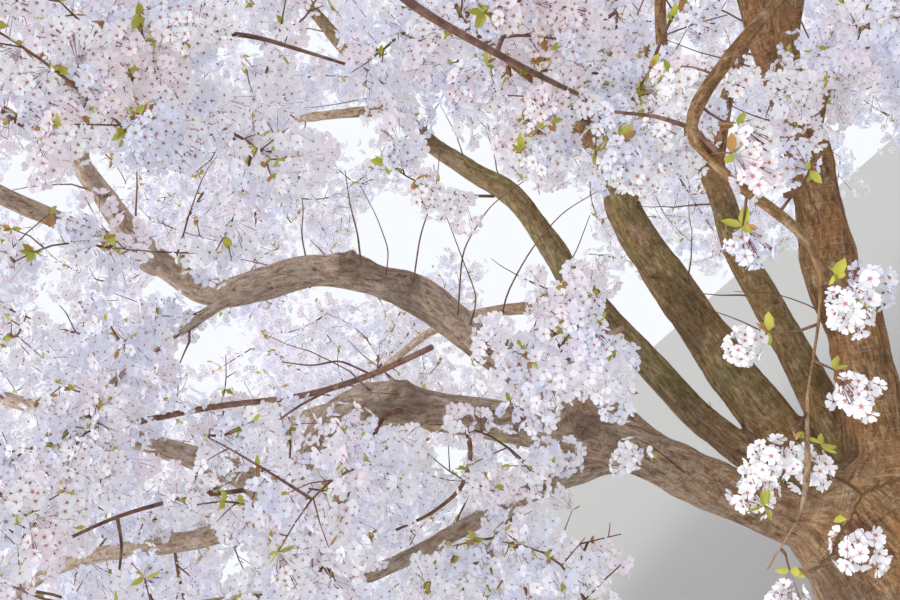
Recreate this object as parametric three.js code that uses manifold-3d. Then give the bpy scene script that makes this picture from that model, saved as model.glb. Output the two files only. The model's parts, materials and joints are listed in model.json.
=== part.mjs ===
// A cherry tree in full white blossom. A short flared trunk forks low into five stems,
// which carry long boughs, and most limbs end in a mass of twigs set with blossom.
// Millimetres and degrees. +X is right, +Y is away from the front, +Z is up, and the
// origin is the middle of the flat cut at ground level.
import * as THREE from 'three';
import { mergeVertices } from 'three/addons/utils/BufferGeometryUtils.js';
import Module from 'manifold-3d';

const wasm = await Module();
wasm.setup();

// Trunk: the stems' routes all start at the fork, and their first stretch is the trunk's
const TRUNK_WAIST = 262;
const TRUNK_WAIST_HEIGHT = 300;
const TRUNK_WAIST_RINGS = 5;
const TRUNK_CROTCH_HEIGHT = 430;
const TRUNK_SHOULDER_HEIGHT = 390;
const TRUNK_SHOULDER_SHARE = 0.72;
const TRUNK_SIDES = 16;
const ROOT_FLARE = 130;
const ROOT_LOBES = 5;
const ROOT_LOBE_SHARE = 0.38;
const ROOT_LOBE_TURN = 0.7;
const ROOT_OVAL_SHARE = 0.2;
const FORK = new THREE.Vector3(-20, 20, 70);
const ARM_LENGTH = 600;

// Clearances between solids, and how deep a limb or a mass starts inside what carries it
const GAP = 0.3;
const SINK = 25;
const MASS_MARGIN = 12;
const LIMB_MARGIN = 14;

// The egg-shaped room of a mass, as shares of its spread and of its half length
const EGG_OVERHANG = 0.35;
const EGG_LEAD = 0.92;
const EGG_EDGE = 1.04;
const ROOM_STEP = 20;

// Meshing of the limbs
const STEM_SIDES = 9;
const BOUGH_SIDES = 6;
const RING_SPACING = 270;
const LEAST_RINGS = 3;
const KNOB_WIDTH = 110;
const SPINE_SPACING = 30;

// Twigs and blossom
const MASS_STEM_SIDES = 4;
const MASS_STEM_TIP = 7;
const MASS_STEM_INSET = 1.5;
const TWIG_SIDES = 3;
const TWIG_FOOT = 13;
const TWIG_TIP = 6;
const TWIGS_PER_METRE = 4.4;
const LEAST_TWIGS = 2;
const TWIG_SHARES = [0.12, 0.94];
const TWIG_SPLAY = [80, 42];
const TWIG_TURN = 137.5;
const TWIG_TURN_LOOSE = 40;
const TWIG_REACH = [0.7, 1];
const TWIG_SAG = 0.12;
const TWIG_LEAST = 0.18;
const END_SPRAY = 0.29;
const SIDE_SPRAY = 0.25;
const SIDE_SPRAY_PLACE = 0.45;
const SPRAY_WIDTH = 0.8;
const SPRAY_DEPTH = 0.66;
const SPRAY_SWING = 0.4;

// The front of the crown stays open here, so that one can stand under it and see the stems
const CLEARING = new THREE.Vector3(-570, -3300, 1100);
const CLEARING_RADIUS = 850;

// Each limb leaves its parent at a share of its length. Its route is a run of stretches,
// each a length, a heading counted from +X towards +Y, and a rise. A mass carries the
// route on from the limb's tip, and spread is how far its twigs stand out on each side.
const LIMBS = [
  {
    name: 'stem_left', parent: 'trunk', foot: 96, tip: 56, knobs: [[0.97, 16]],
    route: [[620, -168, 61], [200, -155, 65], [330, -156, 54], [420, -158, 49], [260, -172, 46]],
  },
  {
    name: 'stem_middle', parent: 'trunk', foot: 66, tip: 26,
    route: [[640, 127, 70], [300, 105, 77], [480, 85, 78], [470, 58, 76], [260, 132, 72],
      [400, 115, 73], [1100, 80, 71]],
    mass: { route: [[850, 60, 74], [700, 100, 62]], spread: 1300 },
  },
  {
    name: 'stem_right_middle', parent: 'trunk', foot: 98, tip: 34,
    route: [[640, 82, 70], [600, 48, 76], [300, 40, 74], [260, 22, 60], [380, 50, 78], [1400, 60, 67]],
    mass: { route: [[850, 20, 70], [700, -20, 54]], spread: 1300 },
  },
  {
    name: 'stem_right', parent: 'trunk', foot: 112, tip: 36,
    route: [[680, -4, 57], [240, 0, 66], [380, 0, 58], [260, -5, 60], [320, -8, 68], [900, -16, 62]],
    mass: { route: [[700, -30, 50], [700, -50, 35]], spread: 1200 },
  },
  {
    name: 'stem_rear', parent: 'trunk', foot: 76, tip: 28,
    route: [[640, 38, 64], [270, 44, 64], [300, 44, 62], [380, 35, 58], [900, 50, 58]],
    mass: { route: [[700, 60, 52], [700, 50, 38]], spread: 1200 },
  },
  {
    name: 'stem_twisted', parent: 'stem_left', share: 0.44, foot: 68, tip: 28,
    knobs: [[0.3, 13], [0.46, 9]],
    route: [[330, 160, 76], [340, -175, 70], [360, -150, 75], [330, -150, 49], [330, -172, 27],
      [230, 150, 62], [280, 115, 66], [1100, 95, 74]],
    mass: { route: [[850, 40, 76], [700, 170, 66]], spread: 1300 },
  },
  {
    name: 'bough_far_left', parent: 'stem_left', share: 1, foot: 46, tip: 20,
    route: [[150, 180, 20], [250, 172, -18], [310, 161, 9], [260, 156, 24], [310, 158, 29],
      [290, 158, 21], [300, 152, 8]],
    mass: { route: [[600, 170, 15], [600, -170, -12]], spread: 1100 },
  },
  {
    name: 'bough_left_rise', parent: 'bough_far_left', share: 0.24, foot: 44, tip: 20,
    route: [[260, 155, 60], [500, 165, 55], [600, 150, 50]],
    mass: { route: [[700, 160, 50], [600, 175, 25]], spread: 1200 },
  },
  {
    name: 'bough_front_left', parent: 'stem_left', share: 0.5, foot: 32, tip: 18,
    route: [[400, -165, 20], [600, -152, 14], [700, -140, 28]],
    mass: { route: [[600, -130, 32], [600, -145, 0]], spread: 1200 },
  },
  {
    name: 'bough_over_left', parent: 'stem_twisted', share: 0.6, foot: 34, tip: 18,
    route: [[600, -110, 35], [700, -95, 15], [500, -100, 5]],
    mass: { route: [[600, -95, 5], [600, -120, -15]], spread: 1100 },
  },
  {
    name: 'bough_over_right', parent: 'stem_right', share: 0.72, foot: 36, tip: 18,
    route: [[600, -70, 35], [800, -100, 20], [500, -105, 5]],
    mass: { route: [[600, -100, 0], [600, -80, -20]], spread: 1100 },
  },
  {
    name: 'bough_right_front', parent: 'stem_right', share: 0.6, foot: 36, tip: 18,
    route: [[500, -40, 35], [600, -55, 20], [500, -50, 10]],
    mass: { route: [[600, -45, 5], [600, -35, -20]], spread: 1200 },
  },
  {
    name: 'bough_right', parent: 'stem_right', share: 0.66, foot: 34, tip: 18,
    route: [[500, 15, 30], [600, 5, 20], [400, -5, 10]],
    mass: { route: [[600, 0, 5], [600, 10, -20]], spread: 1200 },
  },
  {
    name: 'bough_right_back', parent: 'stem_rear', share: 0.62, foot: 32, tip: 18,
    route: [[500, 15, 35], [600, 30, 20], [500, 35, 10]],
    mass: { route: [[600, 30, 5], [600, 40, -20]], spread: 1200 },
  },
  {
    name: 'bough_back_right', parent: 'stem_right_middle', share: 0.5, foot: 32, tip: 18,
    route: [[500, 75, 35], [600, 65, 15], [500, 60, 10]],
    mass: { route: [[600, 65, 5], [600, 50, -20]], spread: 1200 },
  },
  {
    name: 'bough_back_left', parent: 'stem_middle', share: 0.36, foot: 28, tip: 18,
    route: [[500, 130, 35], [600, 120, 20], [600, 125, 10]],
    mass: { route: [[600, 120, 5], [600, 105, -20]], spread: 1200 },
  },
  {
    name: 'bough_left_back', parent: 'stem_left', share: 0.8, foot: 34, tip: 18,
    route: [[500, 125, 35], [700, 135, 22], [600, 145, 10]],
    mass: { route: [[600, 140, 5], [600, 160, -20]], spread: 1200 },
  },
  {
    name: 'bough_high_left', parent: 'stem_twisted', share: 0.8, foot: 30, tip: 18,
    route: [[500, -110, 45], [600, -120, 30]],
    mass: { route: [[600, -115, 30], [600, -130, 5]], spread: 1200 },
  },
  {
    name: 'bough_high_front', parent: 'stem_right_middle', share: 0.76, foot: 34, tip: 18,
    route: [[500, -100, 40], [700, -95, 30], [500, -90, 20]],
    mass: { route: [[600, -95, 20], [600, -85, 0]], spread: 1200 },
  },
  {
    name: 'bough_high_back', parent: 'stem_middle', share: 0.72, foot: 24, tip: 16,
    route: [[450, 130, 40], [500, 115, 35]],
    mass: { route: [[600, 115, 35], [600, 130, 5]], spread: 1200 },
  },
  {
    name: 'bough_high_right', parent: 'stem_rear', share: 0.84, foot: 28, tip: 18,
    route: [[500, 0, 50], [600, 15, 45]],
    mass: { route: [[600, 10, 40], [600, 20, 10]], spread: 1200 },
  },
  {
    name: 'bough_top_front', parent: 'stem_right', share: 0.9, foot: 36, tip: 20,
    route: [[500, -120, 60], [800, -155, 66], [500, -140, 62]],
    mass: { route: [[800, -150, 68], [600, -100, 45]], spread: 1300 },
  },
  {
    name: 'bough_hanging_left', parent: 'stem_twisted', share: 0.66, foot: 24, tip: 14,
    route: [[400, -75, 15], [350, -60, -8]],
    mass: { route: [[400, -70, -20], [350, -60, -30]], spread: 520 },
  },
  {
    name: 'bough_hanging_middle', parent: 'stem_right_middle', share: 0.58, foot: 26, tip: 14,
    route: [[500, -110, 30], [600, -103, 7], [250, -108, -15]],
    mass: { route: [[450, -100, -48], [450, -92, -62]], spread: 460, shift: [50, 0, -60] },
  },
  {
    name: 'bough_hanging_right', parent: 'stem_right', share: 0.58, foot: 26, tip: 14,
    route: [[500, -80, 35], [500, -110, 0], [500, -115, -30]],
    mass: {
      route: [[590, -150, -12], [130, -170, -60], [245, 57, -79], [260, 178, -44], [190, 160, -46],
        [140, 178, -20]],
      spread: 330,
      shift: [-190, -90, -160],
    },
  },
  {
    name: 'bough_inner', parent: 'stem_left', share: 0.62, foot: 22, tip: 12,
    route: [[220, -80, 30], [140, -60, 20]],
    mass: { route: [[250, -72, 5], [220, -58, -10]], spread: 360 },
  },
  {
    name: 'bough_low_left', parent: 'stem_left', share: 0.56, foot: 20, tip: 11,
    route: [[170, -105, 15], [130, -125, 0]],
    mass: { route: [[220, -160, 0], [220, 175, -12]], spread: 420 },
  },
  {
    name: 'bough_left_front', parent: 'stem_twisted', share: 0.4, foot: 24, tip: 13,
    route: [[300, -150, 18], [250, -165, 5]],
    mass: { route: [[350, -170, 0], [350, 175, -12]], spread: 580 },
  },
  {
    name: 'bough_left_low', parent: 'stem_left', share: 0.84, foot: 24, tip: 12,
    route: [[200, -115, 10], [180, -135, -5]],
    mass: { route: [[300, -155, -8], [280, -170, -15]], spread: 500 },
  },
  {
    name: 'bough_low_right', parent: 'stem_right', share: 0.46, foot: 22, tip: 12,
    route: [[180, -75, 30], [140, -60, 30]],
    mass: { route: [[260, -75, 15], [220, -55, 0]], spread: 340 },
  },
];

/** Random numbers from 0 to 1 that come out the same each time for a given seed. */
function makeChance(seed) {
  let state = seed * 7919 + 17;
  return function () {
    state = (state * 1664525 + 1013904223) % 4294967296;
    return state / 4294967296;
  };
}

function between(range, share) {
  return range[0] + (range[1] - range[0]) * share;
}

function direction(heading, rise) {
  const level = THREE.MathUtils.degToRad(heading);
  const up = THREE.MathUtils.degToRad(rise);
  return new THREE.Vector3(
    Math.cos(up) * Math.cos(level),
    Math.cos(up) * Math.sin(level),
    Math.sin(up),
  );
}

/** The smooth curve that follows a route's stretches from a start. */
function curveAlong(start, route) {
  const corners = [start.clone()];
  for (const [length, heading, rise] of route) {
    const last = corners[corners.length - 1];
    corners.push(last.clone().addScaledVector(direction(heading, rise), length));
  }
  return new THREE.CatmullRomCurve3(corners, false, 'catmullrom', 0.5);
}

/** Any unit vector square to the one given. */
function squareTo(vector) {
  const least = Math.abs(vector.z) < 0.9 ? new THREE.Vector3(0, 0, 1) : new THREE.Vector3(1, 0, 0);
  return least.cross(vector).normalize();
}

/** A capped cylinder bent along a curve between two distances, as thick as radiusAt says. */
function bentRod(curve, from, to, radiusAt, sides, steps) {
  const total = curve.getLength();
  const rings = [];
  let across = squareTo(curve.getTangentAt(THREE.MathUtils.clamp(from / total, 0, 1)));
  for (let i = 0; i <= steps; i += 1) {
    const distance = from + ((to - from) * i) / steps;
    const share = THREE.MathUtils.clamp(distance / total, 0, 1);
    const along = curve.getTangentAt(share);
    const middle = curve.getPointAt(share).addScaledVector(along, distance - share * total);
    across = across.addScaledVector(along, -across.dot(along)).normalize();
    const other = new THREE.Vector3().crossVectors(across, along);
    rings.push({ middle, across: across.clone(), other, radius: radiusAt(distance) });
  }
  const rod = new THREE.CylinderGeometry(1, 1, 1, sides, steps);
  const places = rod.attributes.position;
  for (let i = 0; i < places.count; i += 1) {
    const ring = rings[Math.round((places.getY(i) + 0.5) * steps)];
    const place = ring.middle.clone();
    place.addScaledVector(ring.across, places.getX(i) * ring.radius);
    place.addScaledVector(ring.other, places.getZ(i) * ring.radius);
    places.setXYZ(i, place.x, place.y, place.z);
  }
  return rod;
}

function toSolid(geometry) {
  geometry.deleteAttribute('normal');
  geometry.deleteAttribute('uv');
  const merged = mergeVertices(geometry);
  return new wasm.Manifold(new wasm.Mesh({
    numProp: 3,
    vertProperties: Float32Array.from(merged.attributes.position.array),
    triVerts: Uint32Array.from(merged.index.array),
  }));
}

/** The largest single body of a solid: loose scraps go, and sealed hollows fill. */
function wholeBody(solid) {
  const bodies = solid.decompose();
  return bodies.reduce((best, body) => (body.volume() > best.volume() ? body : best));
}

function toGeometry(solid) {
  const mesh = solid.getMesh();
  const geometry = new THREE.BufferGeometry();
  const places = new Float32Array((mesh.vertProperties.length / mesh.numProp) * 3);
  for (let i = 0; i < places.length / 3; i += 1) {
    places.set(mesh.vertProperties.subarray(i * mesh.numProp, i * mesh.numProp + 3), i * 3);
  }
  geometry.setAttribute('position', new THREE.BufferAttribute(places, 3));
  geometry.setIndex(new THREE.BufferAttribute(Uint32Array.from(mesh.triVerts), 1));
  geometry.computeVertexNormals();
  return geometry;
}

/** The limb's radius at a distance along it, with its taper and its knobs. */
function limbRadius(limb, distance) {
  const share = THREE.MathUtils.clamp(distance / limb.length, 0, 1);
  let radius = between([limb.foot, limb.tip], share);
  for (const [place, swelling] of limb.knobs ?? []) {
    const away = (distance - place * limb.length) / KNOB_WIDTH;
    radius += swelling * Math.exp(-away * away);
  }
  return radius;
}

/** Adds each limb's curve and length, from its parent outwards. */
function layOut(limbs) {
  const byName = new Map();
  for (const limb of limbs) {
    const parent = byName.get(limb.parent);
    let start = FORK;
    if (parent) {
      const distance = Math.min(limb.share * parent.length, parent.length - SINK);
      start = parent.curve.getPointAt(distance / parent.length);
    }
    limb.curve = curveAlong(start, limb.route);
    limb.length = limb.curve.getLength();
    byName.set(limb.name, limb);
  }
  return byName;
}

function limbRod(limb, from, to, growth) {
  const sides = limb.name.startsWith('stem') ? STEM_SIDES : BOUGH_SIDES;
  const steps = Math.max(LEAST_RINGS, Math.round((to - from) / RING_SPACING));
  const grown = growth / Math.cos(Math.PI / sides);
  const radiusAt = (distance) => limbRadius(limb, distance) + grown;
  return toSolid(bentRod(limb.curve, from, to, radiusAt, sides, steps));
}

function limbStart(limb) {
  return limb.parent === 'trunk' ? ARM_LENGTH + GAP : 0;
}

/** A limb a little larger all round, to cut what stands on it 0.3 mm clear. */
function limbCutter(limb) {
  return limbRod(limb, limbStart(limb) - GAP, limb.length + GAP, GAP);
}

function limbSolid(limb, byName) {
  const rod = limbRod(limb, limbStart(limb), limb.length, 0);
  const parent = byName.get(limb.parent);
  return parent ? wholeBody(rod.subtract(limbCutter(parent))) : rod;
}

/** The trunk: a lathe-turned bole with root lobes, and an arm to the foot of each stem. */
function trunkSolid(limbs) {
  const profile = [new THREE.Vector2(0, 0)];
  for (let i = 0; i <= TRUNK_WAIST_RINGS; i += 1) {
    profile.push(new THREE.Vector2(TRUNK_WAIST, (TRUNK_WAIST_HEIGHT * i) / TRUNK_WAIST_RINGS));
  }
  profile.push(new THREE.Vector2(TRUNK_WAIST * TRUNK_SHOULDER_SHARE, TRUNK_SHOULDER_HEIGHT));
  profile.push(new THREE.Vector2(0, TRUNK_CROTCH_HEIGHT));
  const bole = new THREE.LatheGeometry(profile, TRUNK_SIDES);
  bole.rotateX(Math.PI / 2);
  const places = bole.attributes.position;
  for (let i = 0; i < places.count; i += 1) {
    const x = places.getX(i);
    const y = places.getY(i);
    const height = places.getZ(i);
    const angle = Math.atan2(y, x);
    const low = Math.max(0, 1 - height / TRUNK_WAIST_HEIGHT) ** 2;
    const lobe = 1 + ROOT_LOBE_SHARE * Math.cos(ROOT_LOBES * angle + ROOT_LOBE_TURN)
      + ROOT_OVAL_SHARE * Math.cos(2 * angle);
    const swell = 1 + (ROOT_FLARE * low * lobe) / TRUNK_WAIST;
    places.setXYZ(i, x * swell, y * swell, height);
  }
  let trunk = toSolid(bole);
  for (const limb of limbs.filter((each) => each.parent === 'trunk')) {
    trunk = trunk.add(limbRod(limb, 0, ARM_LENGTH, 0));
  }
  return wholeBody(trunk);
}

/** The room of a mass: an egg round its stem, with its middle, main way and half sizes. */
function layOutMass(limb, index) {
  const { route, spread } = limb.mass;
  const tip = limb.curve.getPointAt(1 - SINK / limb.length);
  const curve = curveAlong(tip, route);
  const end = curve.getPointAt(1);
  const chord = end.clone().sub(tip);
  const halfLength = chord.length() / 2 + spread * EGG_OVERHANG;
  const way = chord.normalize();
  const middle = tip.clone().addScaledVector(way, halfLength * EGG_LEAD);
  middle.add(new THREE.Vector3(...(limb.mass.shift ?? [0, 0, 0])));
  return { limb, index, curve, length: curve.getLength(), spread, halfLength, way, middle };
}

/** How far a point lies out in a mass's egg: 1 on its skin. */
function outness(mass, point) {
  const away = point.clone().sub(mass.middle);
  const along = away.dot(mass.way);
  const across = Math.sqrt(Math.max(0, away.lengthSq() - along * along));
  return Math.hypot(along / mass.halfLength, across / mass.spread);
}

/** Whether a point lies in a mass's own part of the crown, clear of its neighbours' parts. */
function isOwn(mass, masses, point) {
  return masses.every((other) => {
    if (other === mass) return true;
    const across = other.middle.clone().sub(mass.middle);
    const apart = across.length();
    const edge = (apart + (mass.spread ** 2 - other.spread ** 2) / apart) / 2;
    return point.clone().sub(mass.middle).dot(across) / apart < edge - MASS_MARGIN;
  });
}

function isClearOfLimbs(spine, point) {
  return spine.every((knot) => point.distanceTo(knot.place) > knot.radius + LIMB_MARGIN);
}

/** Points along every limb, close enough together to stand for its bark. */
function limbSpine(limbs) {
  const spine = [];
  for (const limb of limbs) {
    const count = Math.ceil(limb.length / SPINE_SPACING);
    for (let i = 0; i <= count; i += 1) {
      const distance = (limb.length * i) / count;
      spine.push({ limb, place: limb.curve.getPointAt(i / count), radius: limbRadius(limb, distance) });
    }
  }
  return spine;
}

/** Whether these points are in their mass's room, and clear of bark and clearing. */
function fits(mass, masses, spine, points) {
  return points.every((point) => outness(mass, point) <= EGG_EDGE
    && isOwn(mass, masses, point)
    && point.distanceTo(CLEARING) > CLEARING_RADIUS
    && isClearOfLimbs(spine, point));
}

/** Whether every limb passes clear of a spray, given the spray's middle and half axes. */
function missesLimbs(spine, middle, axes) {
  const sizes = axes.map((axis) => axis.length());
  const steepness = Math.hypot(...sizes.map((size) => 1 / size));
  return spine.every((knot) => {
    const away = knot.place.clone().sub(middle);
    const reach = axes.reduce((sum, axis, i) => sum + Math.abs(away.dot(axis)) / sizes[i] ** 2, 0);
    return reach > 1 + (knot.radius + LIMB_MARGIN) * steepness;
  });
}

function cornersOf(geometry) {
  const places = geometry.attributes.position;
  const corners = [];
  for (let i = 0; i < places.count; i += 1) {
    corners.push(new THREE.Vector3().fromBufferAttribute(places, i));
  }
  return corners;
}

/** How far one can go from a point in a direction before leaving the mass's room. */
function roomAlong(mass, masses, start, way) {
  const point = start.clone().addScaledVector(way, ROOM_STEP);
  let length = 0;
  while (outness(mass, point) <= 1 && isOwn(mass, masses, point)) {
    point.addScaledVector(way, ROOM_STEP);
    length += ROOM_STEP;
  }
  return length;
}

/** The three half axes of a spray, longest along its twig. */
function sprayAxes(way, size, roll) {
  const across = squareTo(way).applyAxisAngle(way, roll);
  const other = new THREE.Vector3().crossVectors(way, across);
  return [
    way.clone().multiplyScalar(size),
    across.multiplyScalar(size * SPRAY_WIDTH),
    other.multiplyScalar(size * SPRAY_DEPTH),
  ];
}

/** A straight three-sided twig that tapers to its end. */
function twigSolid(start, end) {
  const line = new THREE.LineCurve3(start, end);
  const length = start.distanceTo(end);
  const radiusAt = (distance) => between([TWIG_FOOT, TWIG_TIP], distance / length);
  return toSolid(bentRod(line, 0, length, radiusAt, TWIG_SIDES, 1));
}

/** Points along a twig past its foot, to test its way with. */
function pointsAlong(start, end) {
  return [0.2, 0.4, 0.6, 0.8, 1].map((share) => start.clone().lerp(end, share));
}

/** A mass: twigs from one stem by a seeded rule, with blossom on them, fused into one body. */
function massSolid(mass, masses, spine) {
  const chance = makeChance(mass.index);
  const foot = mass.limb.tip - MASS_STEM_INSET;
  const radiusAt = (distance) => between([foot, MASS_STEM_TIP], distance / mass.length);
  const steps = Math.max(LEAST_RINGS, mass.limb.mass.route.length);
  const stem = toSolid(bentRod(mass.curve, 0, mass.length, radiusAt, MASS_STEM_SIDES, steps));
  const pieces = [stem];

  /** One spray of blossom has eight faces, and is left out where it would not fit. */
  function addSpray(middle, way, share) {
    const roll = chance() * Math.PI;
    const swing = squareTo(way).applyAxisAngle(way, chance() * Math.PI * 2);
    const lean = way.clone().addScaledVector(swing, SPRAY_SWING * chance()).normalize();
    const axes = sprayAxes(lean, mass.spread * share, roll);
    const spray = new THREE.OctahedronGeometry(1, 0);
    spray.applyMatrix4(new THREE.Matrix4().makeBasis(...axes).setPosition(middle));
    if (fits(mass, masses, spine, cornersOf(spray)) && missesLimbs(spine, middle, axes)) {
      pieces.push(toSolid(spray));
    }
  }

  const count = Math.round((TWIGS_PER_METRE * mass.length) / 1000 + LEAST_TWIGS);
  for (let i = 0; i < count; i += 1) {
    const share = between(TWIG_SHARES, i / (count - 1));
    const start = mass.curve.getPointAt(share);
    const along = mass.curve.getTangentAt(share);
    const turn = THREE.MathUtils.degToRad(i * TWIG_TURN + TWIG_TURN_LOOSE * chance());
    const splay = THREE.MathUtils.degToRad(between(TWIG_SPLAY, share));
    const aside = squareTo(along).applyAxisAngle(along, turn);
    const way = along.clone().multiplyScalar(Math.cos(splay)).addScaledVector(aside, Math.sin(splay));
    way.z -= TWIG_SAG;
    way.normalize();
    const room = roomAlong(mass, masses, start, way) * between(TWIG_REACH, chance());
    const length = room - mass.spread * END_SPRAY;
    const end = start.clone().addScaledVector(way, length);
    if (length < mass.spread * TWIG_LEAST) continue;
    if (!fits(mass, masses, spine, pointsAlong(start, end))) continue;
    pieces.push(twigSolid(start, end));
    addSpray(end, way, END_SPRAY);
    if (length > mass.spread * (END_SPRAY + SIDE_SPRAY)) {
      addSpray(start.clone().lerp(end, SIDE_SPRAY_PLACE), way, SIDE_SPRAY);
    }
  }
  addSpray(mass.curve.getPointAt(1), mass.curve.getTangentAt(1), END_SPRAY);
  const fused = pieces.reduce((sum, piece) => sum.add(piece));
  return wholeBody(fused.subtract(limbCutter(mass.limb)));
}

const bark = { color: 0x8a6a4f, roughness: 0.9, metalness: 0 };
const mossyBark = { color: 0x8b8468, roughness: 0.95, metalness: 0 };
const blossom = { color: 0xf6eef2, roughness: 0.7, metalness: 0 };

function namedMesh(name, solid, look) {
  const mesh = new THREE.Mesh(toGeometry(solid), new THREE.MeshStandardMaterial(look));
  mesh.name = name;
  return mesh;
}

const tree = new THREE.Group();
tree.name = 'white_cherry_blossom_tree';

const byName = layOut(LIMBS);
tree.add(namedMesh('trunk', trunkSolid(LIMBS), bark));
for (const limb of LIMBS) {
  const mossy = ['stem_middle', 'stem_right_middle'].includes(limb.name);
  tree.add(namedMesh(limb.name, limbSolid(limb, byName), mossy ? mossyBark : bark));
}

const masses = LIMBS.filter((limb) => limb.mass).map((limb, i) => layOutMass(limb, i + 1));
const spine = limbSpine(LIMBS);
for (const mass of masses) {
  tree.add(namedMesh(`blossom_of_${mass.limb.name}`, massSolid(mass, masses, spine), blossom));
}

export default tree;
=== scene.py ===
"""A cherry tree in full white blossom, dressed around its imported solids.

Metres and degrees, +X right, +Y away from the front, +Z up, the origin on the ground
under the trunk. The limbs and the masses repeat the routes and the growth rule of the
solids, and each mass is carried on to finer twigs, spurs, blossoms and young leaves.
"""
import itertools
import json
import math

import bpy
import numpy as np
from mathutils import Matrix, Vector

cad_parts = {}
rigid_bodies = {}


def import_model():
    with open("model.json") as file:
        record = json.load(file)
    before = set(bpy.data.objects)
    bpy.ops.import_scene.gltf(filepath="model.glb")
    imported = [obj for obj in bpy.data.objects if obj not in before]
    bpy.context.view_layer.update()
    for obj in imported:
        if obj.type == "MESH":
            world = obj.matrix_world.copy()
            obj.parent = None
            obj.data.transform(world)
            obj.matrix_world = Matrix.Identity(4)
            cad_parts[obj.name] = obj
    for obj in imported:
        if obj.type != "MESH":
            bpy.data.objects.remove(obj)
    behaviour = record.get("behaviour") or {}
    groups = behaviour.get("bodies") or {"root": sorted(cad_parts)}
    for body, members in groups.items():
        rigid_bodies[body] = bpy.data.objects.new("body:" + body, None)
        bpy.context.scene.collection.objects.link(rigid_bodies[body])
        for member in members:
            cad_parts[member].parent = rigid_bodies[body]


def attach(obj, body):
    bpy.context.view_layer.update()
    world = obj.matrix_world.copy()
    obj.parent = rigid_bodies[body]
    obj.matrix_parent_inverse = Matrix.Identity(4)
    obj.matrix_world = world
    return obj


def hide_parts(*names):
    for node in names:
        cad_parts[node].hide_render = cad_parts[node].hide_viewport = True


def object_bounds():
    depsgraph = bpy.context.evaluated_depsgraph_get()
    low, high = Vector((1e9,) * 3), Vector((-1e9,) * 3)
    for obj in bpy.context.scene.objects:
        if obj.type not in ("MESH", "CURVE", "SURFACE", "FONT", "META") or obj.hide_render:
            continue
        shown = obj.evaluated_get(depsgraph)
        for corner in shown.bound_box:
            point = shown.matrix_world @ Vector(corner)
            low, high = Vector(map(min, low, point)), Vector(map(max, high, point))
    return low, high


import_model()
cad_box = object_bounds()

# The viewpoint: under the front of the crown, looking up and in, the camera rolled
VIEWPOINT = np.array([-0.57, -3.3, 1.1])
PITCH = 10.0
ROLL = 41.0
LENS = 38.0

# Trunk
TRUNK_WAIST = 0.262
TRUNK_WAIST_HEIGHT = 0.3
TRUNK_SHOULDER_HEIGHT = 0.39
TRUNK_SHOULDER_SHARE = 0.72
TRUNK_CROTCH_HEIGHT = 0.43
TRUNK_CROTCH = 0.004
ROOT_FLARE = 0.13
ROOT_LOBES = 5
ROOT_LOBE_SHARE = 0.38
ROOT_LOBE_TURN = 0.7
ROOT_OVAL_SHARE = 0.2
FORK = np.array([-0.02, 0.02, 0.07])

# The source's rule
SINK = 0.025
KNOB_WIDTH = 0.11
SPINE_SPACING = 0.03
AT_ONCE = 4000
MASS_MARGIN = 0.012
LIMB_MARGIN = 0.014
EGG_OVERHANG = 0.35
EGG_LEAD = 0.92
EGG_EDGE = 1.04
ROOM_STEP = 0.02
ROOM_LIMIT = 3.0
MASS_STEM_INSET = 0.0015
TWIGS_PER_METRE = 4.4
LEAST_TWIGS = 2
TWIG_SHARES = (0.12, 0.94)
TWIG_SPLAY = (80, 42)
TWIG_TURN = 137.5
TWIG_TURN_LOOSE = 40
TWIG_REACH = (0.7, 1)
TWIG_SAG = 0.12
TWIG_LEAST = 0.18
TWIG_PROBES = np.array([0.2, 0.4, 0.6, 0.8, 1.0])
END_SPRAY = 0.29
SIDE_SPRAY = 0.25
SPRAY_SWING = 0.4
CLEARING = VIEWPOINT
CLEARING_RADIUS = 0.85

def bough(name, parent, share, foot, tip, route, mass, spread, shift=(0, 0, 0)):
    """A bough and the mass that it carries, as one row of the limbs."""
    return dict(name="bough_" + name, parent=parent, share=share, foot=foot, tip=tip,
                route=route, mass=mass, spread=spread, shift=shift)


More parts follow.
